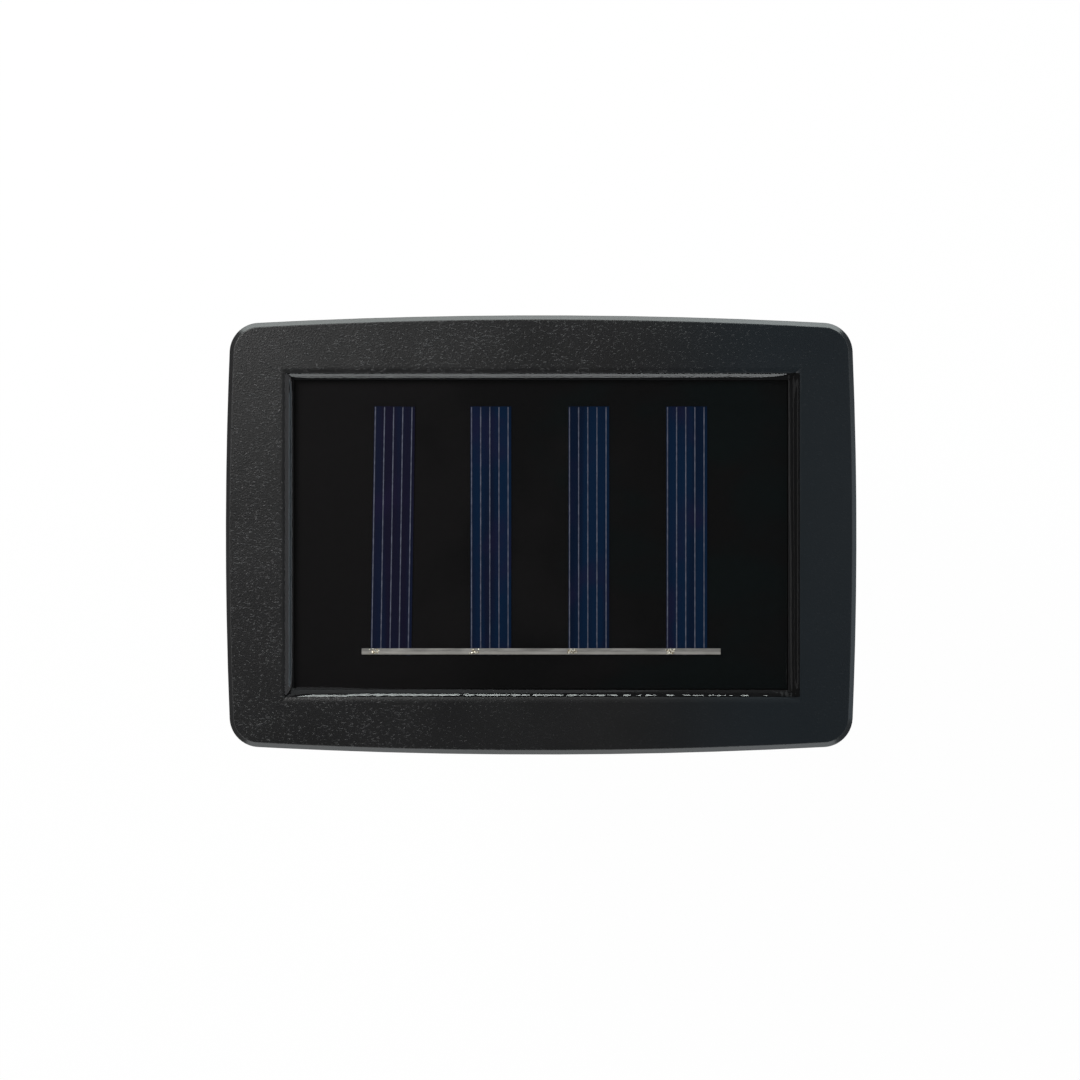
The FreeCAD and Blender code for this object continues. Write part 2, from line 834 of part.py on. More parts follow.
def reflector():
    """White scoop behind the lens: a leaning back, two wings and a roof that the diodes pass.

    It is notched where it is wide enough to reach the screw columns.
    """
    corner = reflector_points()
    order = ("foot_front", "foot_rear", "roof_rear", "roof_front")
    blank = prism_x([corner[name] for name in order], reflector_width / 2)
    roof_under = reflector_top - reflector_wall
    far_front = corner["roof_front"][0] - reflector_width
    share = (roof_under - floor_top) / (reflector_top - floor_top)
    back_top = corner["foot_front"][0] + share * reflector_lean
    scoop = prism_x(
        [corner["foot_front"], (back_top, roof_under), (far_front, roof_under), (far_front, floor_top)],
        reflector_width / 2 - reflector_wall,
    )
    shape = blank.cut(scoop)
    for x, y in led_places():
        shape = shape.cut(rod(led_r + led_hole_gap, (x, y, roof_under - wall), reflector_wall + 2 * wall))
    for x, y in case_screw_places():
        shape = shape.cut(rod(column_r + column_notch_gap, (x, y, floor_top), reflector_top - floor_top))
    return shape


def led_board():
    half = led_board_length / 2
    rear = led_board_rear
    board = box((-half, half), (rear - led_board_depth, rear), (led_board_under, led_board_top))
    for x, y in led_board_screw_places():
        board = board.cut(rod(board_screw_r + led_hole_gap, (x, y, led_board_under), led_board_thick))
    return board


def leds():
    """Round diodes that hang from the board, each with a flange and a domed end."""
    bodies = []
    for x, y in led_places():
        barrel_length = led_height - led_flange_thick - led_r
        flange = rod(led_flange_r, (x, y, reflector_top), led_flange_thick)
        barrel = rod(led_r, (x, y, reflector_top - barrel_length), barrel_length)
        dome = Part.makeSphere(led_r, Vec(x, y, reflector_top - barrel_length))
        bodies.append(flange.fuse([barrel, dome]).removeSplitter())
    return Part.makeCompound(bodies)


# ---- control board and switch --------------------------------------------------------
def control_board():
    half = board_length / 2
    board = box((board_x - half, board_x + half), (board_front, board_rear), (board_under, board_top))
    for x, y in board_boss_places():
        board = board.cut(rod(board_screw_r + led_hole_gap, (x, y, board_under), board_thick))
    return board


def driver_chip():
    """Eight-legged control chip."""
    length, width, height, pin_count = 4.9, 3.9, 1.5, 4
    pin_width, pin_pitch, pin_reach, pin_thick = 0.45, 1.27, 1.05, 0.25
    shape = box((-length / 2, length / 2), (-width / 2, width / 2), (pin_thick, height))
    for index in range(pin_count):
        left = (index - (pin_count - 1) / 2) * pin_pitch - pin_width / 2
        reach = width / 2 + pin_reach
        shape = shape.fuse(box((left, left + pin_width), (-reach, reach), (0, pin_thick)))
    shape.translate(Vec(board_x - chip_offset, board_mid, board_top))
    return shape.removeSplitter()


def inductor():
    """Wound choke of the boost converter, waisted between its two flanges."""
    height, radius, flange = 5.0, 3.0, 0.8
    foot = (board_x + inductor_offset, board_mid)
    shape = rod(radius, (*foot, board_top), flange)
    shape = shape.fuse(rod(radius - flange / 2, (*foot, board_top + flange), height - 2 * flange))
    return shape.fuse(rod(radius, (*foot, board_top + height - flange), flange)).removeSplitter()


def capacitor():
    """Small electrolytic can, standing on the board."""
    height, radius, edge = 7.0, 2.5, 0.4
    can = rod(radius, (board_x - capacitor_offset, board_mid, board_top), height)
    top = [rim for rim in can.Edges if abs(rim.BoundBox.ZMin - board_top - height) < NEAR]
    return can.makeFillet(edge, top)


def switch_body():
    half_x = switch_length / 2
    half_y = switch_width / 2
    centre = switch_x + switch_travel / 2
    heights = (switch_under, board_under)
    return box((centre - half_x, centre + half_x), (board_mid - half_y, board_mid + half_y), heights)


def switch_knob():
    """Knob that slides along the slot, with a collar that keeps dirt out of it."""
    half_x = knob_length / 2
    half_y = knob_width / 2
    low = body_bottom + knob_short
    collar_top = (switch_under + floor_top + knob_collar_thick) / 2
    x_span = (switch_x - half_x, switch_x + half_x)
    stem = box(x_span, (board_mid - half_y, board_mid + half_y), (low, collar_top))
    grip = [edge for edge in stem.Edges if abs(edge.BoundBox.ZMax - low) < NEAR]
    stem = stem.makeFillet(knob_short, grip)
    collar = box(
        (switch_x - half_x - knob_collar, switch_x + half_x + knob_collar),
        (board_mid - half_y - knob_collar, board_mid + half_y + knob_collar),
        (collar_top - knob_collar_thick, collar_top),
    )
    return stem.fuse(collar).removeSplitter()


# ---- battery -------------------------------------------------------------------------
def battery_ends():
    """Where the cell starts, where its can ends, and where its cap ends, along X."""
    cap_end = cavity_half - contact_thick - battery_end_gap / 2
    can_end = cap_end - battery_cap_length
    return cap_end - battery_length, can_end, cap_end


def battery():
    start, can_end, cap_end = battery_ends()
    can = rod(battery_r, (start, battery_y, battery_z), can_end - start, RIGHT)
    return can.makeFillet(battery_edge, [rim for rim in can.Edges if rim.BoundBox.XLength < NEAR])


def battery_cap():
    start, can_end, cap_end = battery_ends()
    return rod(battery_cap_r, (can_end, battery_y, battery_z), cap_end - can_end, RIGHT)


def battery_contacts():
    """Two sprung plates at the compartment's ends, each with a tag through the roof."""
    half = contact_width / 2
    tag_half = contact_tag_width / 2
    plate_low = battery_z - contact_height / 2
    plate_high = battery_z + contact_height / 2
    tag_high = roof_top + contact_tag_rise
    plates = []
    for side in (-1, 1):
        x_span = (side * (cavity_half - contact_thick), side * cavity_half)
        plate = box(x_span, (battery_y - half, battery_y + half), (plate_low, plate_high))
        tag = box(x_span, (battery_y - tag_half, battery_y + tag_half), (plate_high, tag_high))
        plates.append(plate.fuse(tag).removeSplitter())
    return Part.makeCompound(plates)


def battery_spring():
    """Coil between the left contact and the cell's flat end."""
    start = -cavity_half + contact_thick + spring_wire_r + battery_end_gap / 2
    end = battery_ends()[0] - spring_wire_r - battery_end_gap / 2
    spring = coil(spring_r, spring_wire_r, end - start, spring_turns)
    spring.Placement = FreeCAD.Placement(Vec(start, battery_y, battery_z), FreeCAD.Rotation(UP, RIGHT))
    return spring


def battery_door():
    """Door flush with the underside, with two ribs for the cell and a sunk screw in its tab."""
    door_top = body_bottom + door_thick
    door = door_outline(door_gap, body_bottom, door_top)
    rib_top = battery_z - battery_r - door_rib_gap
    rib_half = battery_r - battery_side_gap
    for side in (-1, 1):
        middle = side * door_rib_x
        rib_x = (middle - door_rib_thick / 2, middle + door_rib_thick / 2)
        door = door.fuse(box(rib_x, (battery_y - rib_half, battery_y + rib_half), (door_top, rib_top)))
    for index in range(door_grip_count):
        x = door_grip_x + index * door_grip_pitch
        foot = (x, battery_y - door_grip_length / 2, body_bottom + door_grip_depth - door_grip_r)
        door = door.cut(rod(door_grip_r, foot, door_grip_length, TO_FENCE))
    hole = rod(door_screw_r + column_bore_gap, (door_screw_x, door_screw_y, body_bottom), door_thick)
    sink = Part.makeCone(
        door_screw_head_r + column_bore_gap, door_screw_r + column_bore_gap,
        door_screw_head_r - door_screw_r, Vec(door_screw_x, door_screw_y, body_bottom),
    )
    return door.cut(hole).cut(sink).removeSplitter()


def door_seal():
    """Gasket on the door's lip, round the compartment's mouth."""
    inset = door_gap + battery_end_gap
    low = body_bottom + door_thick
    high = low + door_seal_thick
    reach = door_lap - inset
    half = cavity_half + reach
    ring = box((-half, half), (cavity_front - reach, cavity_rear + reach), (low, high))
    return ring.cut(box((-cavity_half, cavity_half), (cavity_front, cavity_rear), (low, high)))


# ---- screws --------------------------------------------------------------------------
def pan_screw(shank_r, head_r, head_thick, length, foot, axis):
    """Screw with a domed head under foot and its shank along axis."""
    head = rod(head_r, (0, 0, -head_thick), head_thick)
    crown = [rim for rim in head.Edges if abs(rim.BoundBox.ZMax + head_thick) < NEAR]
    head = head.makeFillet(crown_share * head_thick, crown)
    tip = tip_share * shank_r
    shank = rod(shank_r, (0, 0, 0), length - tip)
    point = Part.makeCone(shank_r, tip_end_share * shank_r, tip, Vec(0, 0, length - tip))
    screw = head.fuse([shank, point]).cut(cross_recess(head_r, head_thick, (0, 0, -head_thick)))
    screw.Placement = FreeCAD.Placement(Vec(*foot), FreeCAD.Rotation(UP, axis))
    return screw.removeSplitter()


def case_screws():
    sizes = (case_screw_r, case_screw_head_r, case_screw_head_thick, case_screw_length)
    return Part.makeCompound([pan_screw(*sizes, (x, y, screw_seat), UP) for x, y in case_screw_places()])


def board_screws(places, z, axis):
    sizes = (board_screw_r, board_screw_head_r, board_screw_head_thick, board_screw_length)
    return Part.makeCompound([pan_screw(*sizes, (x, y, z), axis) for x, y in places])


def door_screw():
    """Countersunk screw in the battery door's tab."""
    sink = door_screw_head_r - door_screw_r
    foot = Vec(door_screw_x, door_screw_y, body_bottom + column_bore_gap / 2)
    head = Part.makeCone(door_screw_head_r, door_screw_r, sink, foot)
    shank = rod(door_screw_r, foot, door_screw_length)
    return head.fuse(shank).cut(cross_recess(door_screw_head_r, sink, foot)).removeSplitter()


# ---- wires ---------------------------------------------------------------------------
def panel_lead(side):
    """From the panel's underside, down through the cover's slot, to the control board."""
    offset = side * wire_pair_pitch / 2
    top_y = panel_lead_y()
    foot_x = board_x - panel_pad_offset + offset
    foot_y = board_rear - 2 * wire_r
    return lead([
        (offset, top_y, pocket_floor),
        (offset, top_y, column_top),
        (foot_x, foot_y, roof_top),
        (foot_x, foot_y, board_top),
    ])


def led_lead(side):
    """From the rear edge of the diodes' board, down behind the reflector, to the control board."""
    x = board_x + led_pad_offset + side * wire_pair_pitch / 2
    height = (led_board_under + led_board_top) / 2
    behind = roof_rear + wire_clearance
    foot_y = (board_front + board_mid) / 2
    return lead([
        (x, led_board_rear, height),
        (x, behind, height),
        (x, behind, roof_top + wire_clearance),
        (x, foot_y, (board_top + roof_top) / 2 + wire_clearance),
        (x, foot_y, board_top),
    ])


def battery_lead(side):
    """From a contact's tag, over the compartment and down to the control board."""
    x = side * (cavity_half - contact_thick / 2)
    tag_z = roof_top + contact_tag_rise
    foot_x = board_x + side * (board_length / 2 - battery_pad_inset)
    foot_y = board_rear - 2 * wire_r
    crest = tag_z + wire_clearance
    return lead([
        (x, battery_y, tag_z),
        (x, battery_y, crest),
        (foot_x, foot_y, crest),
        (foot_x, foot_y, board_top),
    ])


def wires(side):
    """The three wires of one pole: 1 is positive and -1 is negative."""
    return Part.makeCompound([panel_lead(side), led_lead(side), battery_lead(side)])


# ---- every node, by name -------------------------------------------------------------
def pieces():
    table = {
        "wall_bracket": wall_bracket(),
        "top_cover": top_cover(),
        "cover_seal": cover_seal(),
        "panel_board": panel_board(),
        "cell_fingers": cell_fingers(),
        "busbar_ribbon": busbar_ribbon(),
        "solder_joints": solder_joints(),
        "potting_resin": potting_resin(),
        "housing": housing(),
        "lens": lens(),
        "lens_seal": lens_seal(),
        "reflector": reflector(),
        "led_board": led_board(),
        "leds": leds(),
        "led_board_screws": board_screws(led_board_screw_places(), led_board_under, UP),
        "control_board": control_board(),
        "control_board_screws": board_screws(board_boss_places(), board_top, -UP),
        "driver_chip": driver_chip(),
        "inductor": inductor(),
        "capacitor": capacitor(),
        "switch_body": switch_body(),
        "switch_knob": switch_knob(),
        "battery": battery(),
        "battery_cap": battery_cap(),
        "battery_contacts": battery_contacts(),
        "battery_spring": battery_spring(),
        "battery_door": battery_door(),
        "door_seal": door_seal(),
        "door_screw": door_screw(),
        "case_screws": case_screws(),
        "wires_red": wires(1),
        "wires_black": wires(-1),
    }
    for index in range(cell_count):
        table[f"solar_cell_{index + 1}"] = solar_cell(index)
    return table


os.makedirs("parts", exist_ok=True)
for node, shape in pieces().items():
    shape.exportStep(f"parts/{node}.step")
    print(f"{node:22s} {len(shape.Solids):2d} solids  {shape.Volume:10.2f} mm3  valid {shape.isValid()}")
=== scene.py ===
"""Finish of the solar fence light: its materials, the poured resin, the solder and the studio."""
import math

import bmesh
import bpy
from mathutils import Matrix, Vector, noise

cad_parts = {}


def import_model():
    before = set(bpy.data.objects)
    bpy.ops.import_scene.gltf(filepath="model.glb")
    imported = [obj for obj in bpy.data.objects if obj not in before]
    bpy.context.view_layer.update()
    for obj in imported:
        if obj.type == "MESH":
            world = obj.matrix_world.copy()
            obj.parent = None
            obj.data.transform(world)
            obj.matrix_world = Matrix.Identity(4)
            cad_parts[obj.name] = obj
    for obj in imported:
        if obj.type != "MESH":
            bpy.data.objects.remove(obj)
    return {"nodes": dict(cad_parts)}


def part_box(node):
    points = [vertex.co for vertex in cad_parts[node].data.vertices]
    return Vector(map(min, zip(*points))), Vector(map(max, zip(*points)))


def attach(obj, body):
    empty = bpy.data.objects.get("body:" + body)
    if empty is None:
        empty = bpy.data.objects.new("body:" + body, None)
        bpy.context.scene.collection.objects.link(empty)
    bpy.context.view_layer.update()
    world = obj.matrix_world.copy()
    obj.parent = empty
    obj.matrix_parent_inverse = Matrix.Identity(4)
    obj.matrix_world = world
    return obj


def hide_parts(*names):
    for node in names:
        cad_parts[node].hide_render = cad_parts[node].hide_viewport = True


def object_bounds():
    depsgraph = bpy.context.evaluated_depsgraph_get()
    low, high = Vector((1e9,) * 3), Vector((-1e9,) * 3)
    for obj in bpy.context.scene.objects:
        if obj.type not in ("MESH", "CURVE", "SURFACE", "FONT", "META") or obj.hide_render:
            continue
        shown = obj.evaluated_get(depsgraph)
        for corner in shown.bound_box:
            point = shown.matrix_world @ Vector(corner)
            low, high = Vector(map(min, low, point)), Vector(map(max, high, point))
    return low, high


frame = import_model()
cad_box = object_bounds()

MM = 0.001

# The photograph: its width, the real width of a pixel and the pixel in the outline's middle.
PHOTO_SIZE = 1080
PHOTO_PIXEL = 0.17436 * MM
OUTLINE_CENTRE = (541.15, 534.95)
CAMERA_DISTANCE = 0.34

# The cover. The pocket's rolled edge turns into the flat top at the crease.
CREASE_X = 45.0 * MM
CREASE_Y = 28.15 * MM
ROLL = 2.0 * MM
BEVEL_DEPTH = 0.75 * MM

# The resin. Its foot reaches past the panel's edge. Its level is a little over the CAD solid's
# and higher at the right, where its skin is rippled. It wets the roll up to the crease, and at
# the left a little less far.
FOOT_GAP = 0.25 * MM
POOL_LIFT = 0.14 * MM
POOL_LEAN = 0.12 * MM
FILM = 0.02 * MM
WET_LEFT = 44.6 * MM
LEAST_STEP = 1e-9
RIPPLE = 0.028 * MM
RIPPLE_LENGTH = 0.87 * MM
RIPPLES_FROM_CREASE = 2.17 * MM
RIPPLES_HALF_WIDTH = 1.35 * MM
CORNER_FILL = 1.7 * MM
RAGGED_FILM = 0.12 * MM

# The studio.
FLOOR_DROP = 60 * MM
FLOOR_HALF = 3.0
TUBE_DISTANCE = 0.55
TUBE_LENGTH = 0.5

nodes = frame["nodes"]
STRIPS = ["solar_cell_%d" % number for number in (1, 2, 3, 4)]


def span(node, axis):
    """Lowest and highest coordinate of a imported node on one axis."""
    low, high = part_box(node)
    return low[axis], high[axis]


cover_low, cover_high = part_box("top_cover")
cover_top = cover_high.z
cover_mid = (cover_low + cover_high) / 2
cover_centre = Vector((cover_mid.x, cover_mid.y, cover_top))
resin_low, resin_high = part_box("potting_resin")
board_low, board_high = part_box("panel_board")


# ---- node trees ----------------------------------------------------------------------
def add(tree, kind, inputs=(), **settings):
    """New node whose inputs, by name or number, are linked to a socket or set to a value."""
    made = tree.nodes.new(kind)
    for name, value in settings.items():
        setattr(made, name, value)
    for key, value in dict(inputs).items():
        if isinstance(value, bpy.types.NodeSocket):
            tree.links.new(value, made.inputs[key])
        else:
            made.inputs[key].default_value = value
    return made


def math_of(tree, operation, first, second=0.0, third=0.0):
    """Result of one sum on sockets or numbers."""
    return add(tree, "ShaderNodeMath", {0: first, 1: second, 2: third}, operation=operation).outputs[0]


def ramp(tree, factor, low, high, to_low=0.0, to_high=1.0):
    """Factor brought from low..high to to_low..to_high, smoothly and without overshoot."""
    inputs = {"Value": factor, "From Min": low, "From Max": high, "To Min": to_low, "To Max": to_high}
    made = add(tree, "ShaderNodeMapRange", inputs, interpolation_type="SMOOTHSTEP")
    return made.outputs["Result"]


def blend_colours(tree, factor, first, second, how="MIX"):
    """Colour mixed by factor. First and second are colours or sockets."""
    made = add(tree, "ShaderNodeMix", data_type="RGBA", blend_type=how)
    for key, value in ((0, factor), (6, first), (7, second)):
        if isinstance(value, bpy.types.NodeSocket):
            tree.links.new(value, made.inputs[key])
        else:
            made.inputs[key].default_value = value
    return made.outputs[2]


def stretched(tree, place, factors):
    """Coordinates multiplied axis by axis. A factor below one draws a pattern out."""
    return add(tree, "ShaderNodeVectorMath", {0: place, 1: factors}, operation="MULTIPLY").outputs[0]


def grey(value):
    """Opaque linear grey."""
    return (value, value, value, 1.0)


def srgb(red, green, blue):
    """Linear colour of an 8-bit screen colour."""
    shares = [part / 255 for part in (red, green, blue)]
    return tuple(s / 12.92 if s <= 0.04045 else ((s + 0.055) / 1.055) ** 2.4 for s in shares) + (1.0,)


def new_group(name, inputs, outputs):
    """Shader node group with named sockets, and its input and output nodes."""
    group = bpy.data.node_groups.new(name, "ShaderNodeTree")
    for label, kind, value in inputs:
        socket = group.interface.new_socket(label, in_out="INPUT", socket_type=kind)
        if value is not None:
            socket.default_value = value
    for label, kind in outputs:
        group.interface.new_socket(label, in_out="OUTPUT", socket_type=kind)
    return group, add(group, "NodeGroupInput").outputs, add(group, "NodeGroupOutput").inputs


FLOAT = "NodeSocketFloat"
VECTOR = "NodeSocketVector"


def moulded_grain_group():
    """Grain of a spark-eroded mould: short raised dashes that lie aslant on finer pitting."""
    inputs = [
        ("Place", VECTOR, None),
        ("Dash Width", FLOAT, 0.2 * MM),
        ("Slant", FLOAT, 0.6),
        ("Dash Share", FLOAT, 0.3),
    ]
    outputs = [("Height", FLOAT), ("Fleck", FLOAT), ("Cloud", FLOAT)]
    group, given, result = new_group("Moulded grain", inputs, outputs)
    fineness = math_of(group, "DIVIDE", 0.5, given["Dash Width"])
    aslant = {"Vector": given["Place"], "Angle": given["Slant"]}
    turned = add(group, "ShaderNodeVectorRotate", aslant, rotation_type="Z_AXIS").outputs[0]
    drawn = stretched(group, turned, (0.55, 1.0, 1.0))
    dash_look = {"Vector": drawn, "Scale": fineness, "Detail": 1.0, "Roughness": 0.5, "Distortion": 0.8}
    dashes = add(group, "ShaderNodeTexNoise", dash_look)
    broad = math_of(group, "MULTIPLY", fineness, 0.035)
    cloud = add(group, "ShaderNodeTexNoise", {"Vector": given["Place"], "Scale": broad, "Detail": 3.0})
    patchy = math_of(group, "MULTIPLY_ADD", cloud.outputs["Fac"], 0.2, dashes.outputs["Fac"])
    least = math_of(group, "SUBTRACT", 0.84, math_of(group, "MULTIPLY", given["Dash Share"], 0.4))
    fleck = ramp(group, patchy, least, math_of(group, "ADD", least, 0.2))
    fine = math_of(group, "MULTIPLY", fineness, 1.2)
    pits = add(group, "ShaderNodeTexNoise", {"Vector": given["Place"], "Scale": fine, "Detail": 2.0})
    group.links.new(math_of(group, "MULTIPLY_ADD", pits.outputs["Fac"], 0.7, fleck), result["Height"])
    group.links.new(fleck, result["Fleck"])
    group.links.new(cloud.outputs["Fac"], result["Cloud"])
    return group


def handling_group():
    """Faint uneven gloss that handling and dust leave: a roughness about the given one."""
    inputs = [
        ("Place", VECTOR, None),
        ("Roughness", FLOAT, 0.5),
        ("Spread", FLOAT, 0.1),
        ("Size", FLOAT, 20 * MM),
    ]
    group, given, result = new_group("Handling", inputs, [("Roughness", FLOAT), ("Dust", FLOAT)])
    scale = math_of(group, "DIVIDE", 1.0, given["Size"])
    smear = add(group, "ShaderNodeTexNoise", {"Vector": given["Place"], "Scale": scale, "Detail": 4.0})
    offset = math_of(group, "SUBTRACT", smear.outputs["Fac"], 0.5)
    uneven = math_of(group, "MULTIPLY_ADD", offset, given["Spread"], given["Roughness"])
    group.links.new(uneven, result["Roughness"])
    group.links.new(ramp(group, smear.outputs["Fac"], 0.5, 0.75), result["Dust"])
    return group


MOULDED_GRAIN = moulded_grain_group()
HANDLING = handling_group()


class Finish:
    """A material under construction: its tree, its surface shader and its object coordinates."""

    def __init__(self, name, **constants):
        self.material = bpy.data.materials.new(name)
        self.material.use_nodes = True
        self.tree = self.material.node_tree
        self.tree.nodes.clear()
        self.surface = add(self.tree, "ShaderNodeBsdfPrincipled", constants)
        self.output = add(self.tree, "ShaderNodeOutputMaterial", {"Surface": self.surface.outputs[0]})
        self.place = add(self.tree, "ShaderNodeTexCoord").outputs["Object"]

    def feed(self, **sockets):
        """Link sockets to the surface's inputs, named with _ for each blank."""
        for name, value in sockets.items():
            self.tree.links.new(value, self.surface.inputs[name.replace("_", " ")])

    def axis(self, letter):
        """One of the object coordinates, in metres."""
        return add(self.tree, "ShaderNodeSeparateXYZ", {0: self.place}).outputs[letter]

    def group(self, tree, **values):
        """Outputs of a shared node group at this material's coordinates."""
        values = {name.replace("_", " "): value for name, value in values.items()}
        made = add(self.tree, "ShaderNodeGroup", node_tree=tree)
        for name, value in {"Place": self.place, **values}.items():
            if isinstance(value, bpy.types.NodeSocket):
                self.tree.links.new(value, made.inputs[name])
            else:
                made.inputs[name].default_value = value
        return made.outputs

    def bump(self, height, depth, strength=1.0):
        """Relief of this depth, in metres, on the surface's normal."""
        inputs = {"Height": height, "Distance": depth, "Strength": strength}
        self.feed(Normal=add(self.tree, "ShaderNodeBump", inputs).outputs[0])

    def noise(self, size, detail=2.0, stretch=(1.0, 1.0, 1.0)):
        """Soft noise, about 0 to 1, whose clouds are about this size."""
        where = stretched(self.tree, self.place, stretch)
        look = {"Vector": where, "Scale": 1 / size, "Detail": detail}
        return add(self.tree, "ShaderNodeTexNoise", look).outputs[0]

    def outside_of(self, half_x, half_y):
        """Distance outside a rectangle about the cover's middle, below zero inside it."""
        across = math_of(self.tree, "SUBTRACT", math_of(self.tree, "ABSOLUTE", self.axis("X")), half_x)
        from_mid = math_of(self.tree, "ABSOLUTE", math_of(self.tree, "SUBTRACT", self.axis("Y"), cover_mid.y))
        return across, math_of(self.tree, "SUBTRACT", from_mid, half_y)


def moulded_plastic(name, colour, light_colour, dash=0.2 * MM, roughness=0.5):
    """Grained plastic: flecks catch the light, and the gloss is a little uneven."""
    finish = Finish(name)
    tree = finish.tree
    grain = finish.group(MOULDED_GRAIN, Dash_Width=dash, Dash_Share=0.3)
    wear = finish.group(HANDLING, Roughness=roughness, Spread=0.14)
    cloudy = blend_colours(tree, ramp(tree, grain["Cloud"], 0.35, 0.7), colour, light_colour)
    fleck = tuple(1.8 * part for part in light_colour[:3]) + (1.0,)
    flecked = blend_colours(tree, math_of(tree, "MULTIPLY", grain["Fleck"], 0.5), cloudy, fleck)
    finish.feed(Base_Color=flecked, Roughness=wear["Roughness"])
    finish.bump(grain["Height"], 0.02 * MM)
    return finish.material


def cover_plastic():
    """The cover's black plastic.

    The grain's relief and its painted sparkle are strongest at the rear left, where the key light
    falls, and fade to the front right, and a painted bluish light turns the black blue-grey towards
    the right. The grain stops at the pocket's crease and on the outer bevel, and the plastic is dull
    where the resin wets it.
    """
    finish = Finish("Cover plastic", **{"Specular IOR Level": 0.4})
    tree = finish.tree
    soft_edge = 0.06 * MM
    grain = finish.group(MOULDED_GRAIN, Dash_Width=0.17 * MM, Slant=0.15, Dash_Share=0.42)
    wear = finish.group(HANDLING, Roughness=0.44, Spread=0.12)

    to_rear = math_of(tree, "MULTIPLY", finish.axis("Y"), 0.8)
    to_rear_left = math_of(tree, "SUBTRACT", to_rear, finish.axis("X"))
    # Painted sparkle: the grain's pale flecks and its relief are strongest at the rear left, where the key
    # light falls.
    key_lit_side = ramp(tree, to_rear_left, -75 * MM, 10 * MM, 0.16, 1.0)
    to_right = ramp(tree, finish.axis("X"), 12 * MM, 42 * MM)
    across, along = finish.outside_of(CREASE_X, CREASE_Y)
    from_crease = math_of(tree, "MAXIMUM", across, along)
    outside = ramp(tree, from_crease, -soft_edge, soft_edge)

    height = finish.axis("Z")
    bevel_foot = cover_top - BEVEL_DEPTH
    on_top = ramp(tree, height, cover_top - 0.10 * MM, cover_top - 0.04 * MM)
    below = ramp(tree, height, bevel_foot - 0.2 * MM, bevel_foot - 0.1 * MM, 1.0, 0.0)
    near_pocket = ramp(tree, from_crease, 3.0 * MM, 4.0 * MM, 1.0, 0.0)
    unpolished = math_of(tree, "MAXIMUM", near_pocket, math_of(tree, "MAXIMUM", on_top, below))
    grained = math_of(tree, "MULTIPLY", outside, unpolished)

    cloud = ramp(tree, grain["Cloud"], 0.3, 0.7)
    near_tone = blend_colours(tree, cloud, srgb(13, 13, 14), srgb(17, 17, 18))
    # Painted bluish light: the black turns blue-grey towards the right, where the bluish fill lamps fall.
    cloudy = blend_colours(tree, to_right, near_tone, srgb(8, 18, 24))
    relief = math_of(tree, "MULTIPLY", grained, key_lit_side)
    # Painted sparkle: pale flecks are painted in where the key light falls.
    spark = math_of(tree, "MULTIPLY", math_of(tree, "MULTIPLY", grain["Fleck"], relief), 0.16)
    dry = blend_colours(tree, spark, cloudy, srgb(74, 74, 78))

    to_left = math_of(tree, "MULTIPLY", finish.axis("X"), -1.0)
    wet_left = math_of(tree, "SUBTRACT", to_left, WET_LEFT)
    wet_right = math_of(tree, "SUBTRACT", finish.axis("X"), CREASE_X)
    beyond = math_of(tree, "MAXIMUM", math_of(tree, "MAXIMUM", wet_left, wet_right), along)
    is_dry = ramp(tree, beyond, -soft_edge, soft_edge)
    finish.feed(Base_Color=blend_colours(tree, is_dry, srgb(13, 13, 14), dry))
    skin = math_of(tree, "MULTIPLY", wear["Roughness"], ramp(tree, unpolished, 0.0, 1.0, 0.62, 1.0))
    finish.feed(Roughness=math_of(tree, "MAXIMUM", skin, ramp(tree, is_dry, 0.0, 1.0, 0.85, 0.0)))
    finish.bump(math_of(tree, "MULTIPLY", grain["Height"], relief), 0.06 * MM)
    return finish.material


def panel_black():
    """Solder mask of the panel's board, with faint warm and cool clouds."""
    finish = Finish("Panel black", **{"Roughness": 0.5, "Specular IOR Level": 0.05})
    tree = finish.tree
    to_right = ramp(tree, finish.axis("X"), board_low.x, board_high.x, -0.22, 0.18)
    warm = ramp(tree, math_of(tree, "SUBTRACT", finish.noise(22 * MM, 3.0), to_right), 0.42, 0.68)
    cool = ramp(tree, math_of(tree, "ADD", finish.noise(19 * MM, 2.0, (1.0, 1.6, 1.0)), to_right), 0.5, 0.74)
    base = blend_colours(tree, warm, srgb(9, 9, 9), srgb(17, 16, 16))
    finish.feed(Base_Color=blend_colours(tree, math_of(tree, "MULTIPLY", cool, 0.7), base, srgb(4, 14, 14)))
    finish.bump(finish.noise(1.2 * MM, 3.0), 0.01 * MM)
    return finish.material


def silicon_blue():
    """Blue cell, streaked along its length and mottled, more violet at the left strips."""
    finish = Finish("Silicon blue", **{"Roughness": 0.4, "Specular IOR Level": 0.05})
    tree = finish.tree
    bands = finish.noise(2.1 * MM, 1.0, (1.0, 0.03, 1.0))
    patches = finish.noise(7 * MM, 2.0, (1.0, 0.7, 1.0))
    place = math_of(tree, "MULTIPLY_ADD", bands, 30 * MM, finish.axis("X"))
    violet = ramp(tree, place, -12 * MM, 12 * MM)
    deep = blend_colours(tree, violet, srgb(15, 14, 34), srgb(1, 16, 38))
    lit = blend_colours(tree, violet, srgb(10, 20, 42), srgb(1, 25, 50))
    banded = blend_colours(tree, ramp(tree, bands, 0.35, 0.65), deep, lit)
    mottle = ramp(tree, patches, 0.5, 0.72, 0.0, 0.5)
    finish.feed(Base_Color=blend_colours(tree, mottle, banded, srgb(24, 18, 46)))
    return finish.material


def silver_print():
    """Printed silver lines, a little broken along their length."""
    finish = Finish("Printed silver", **{"Roughness": 0.5, "Specular IOR Level": 0.1})
    tree = finish.tree
    broken = ramp(tree, finish.noise(0.9 * MM, 2.0, (0.4, 1.0, 1.0)), 0.3, 0.7)
    finish.feed(Base_Color=blend_colours(tree, broken, srgb(68, 72, 86), srgb(90, 94, 108)))
    return finish.material


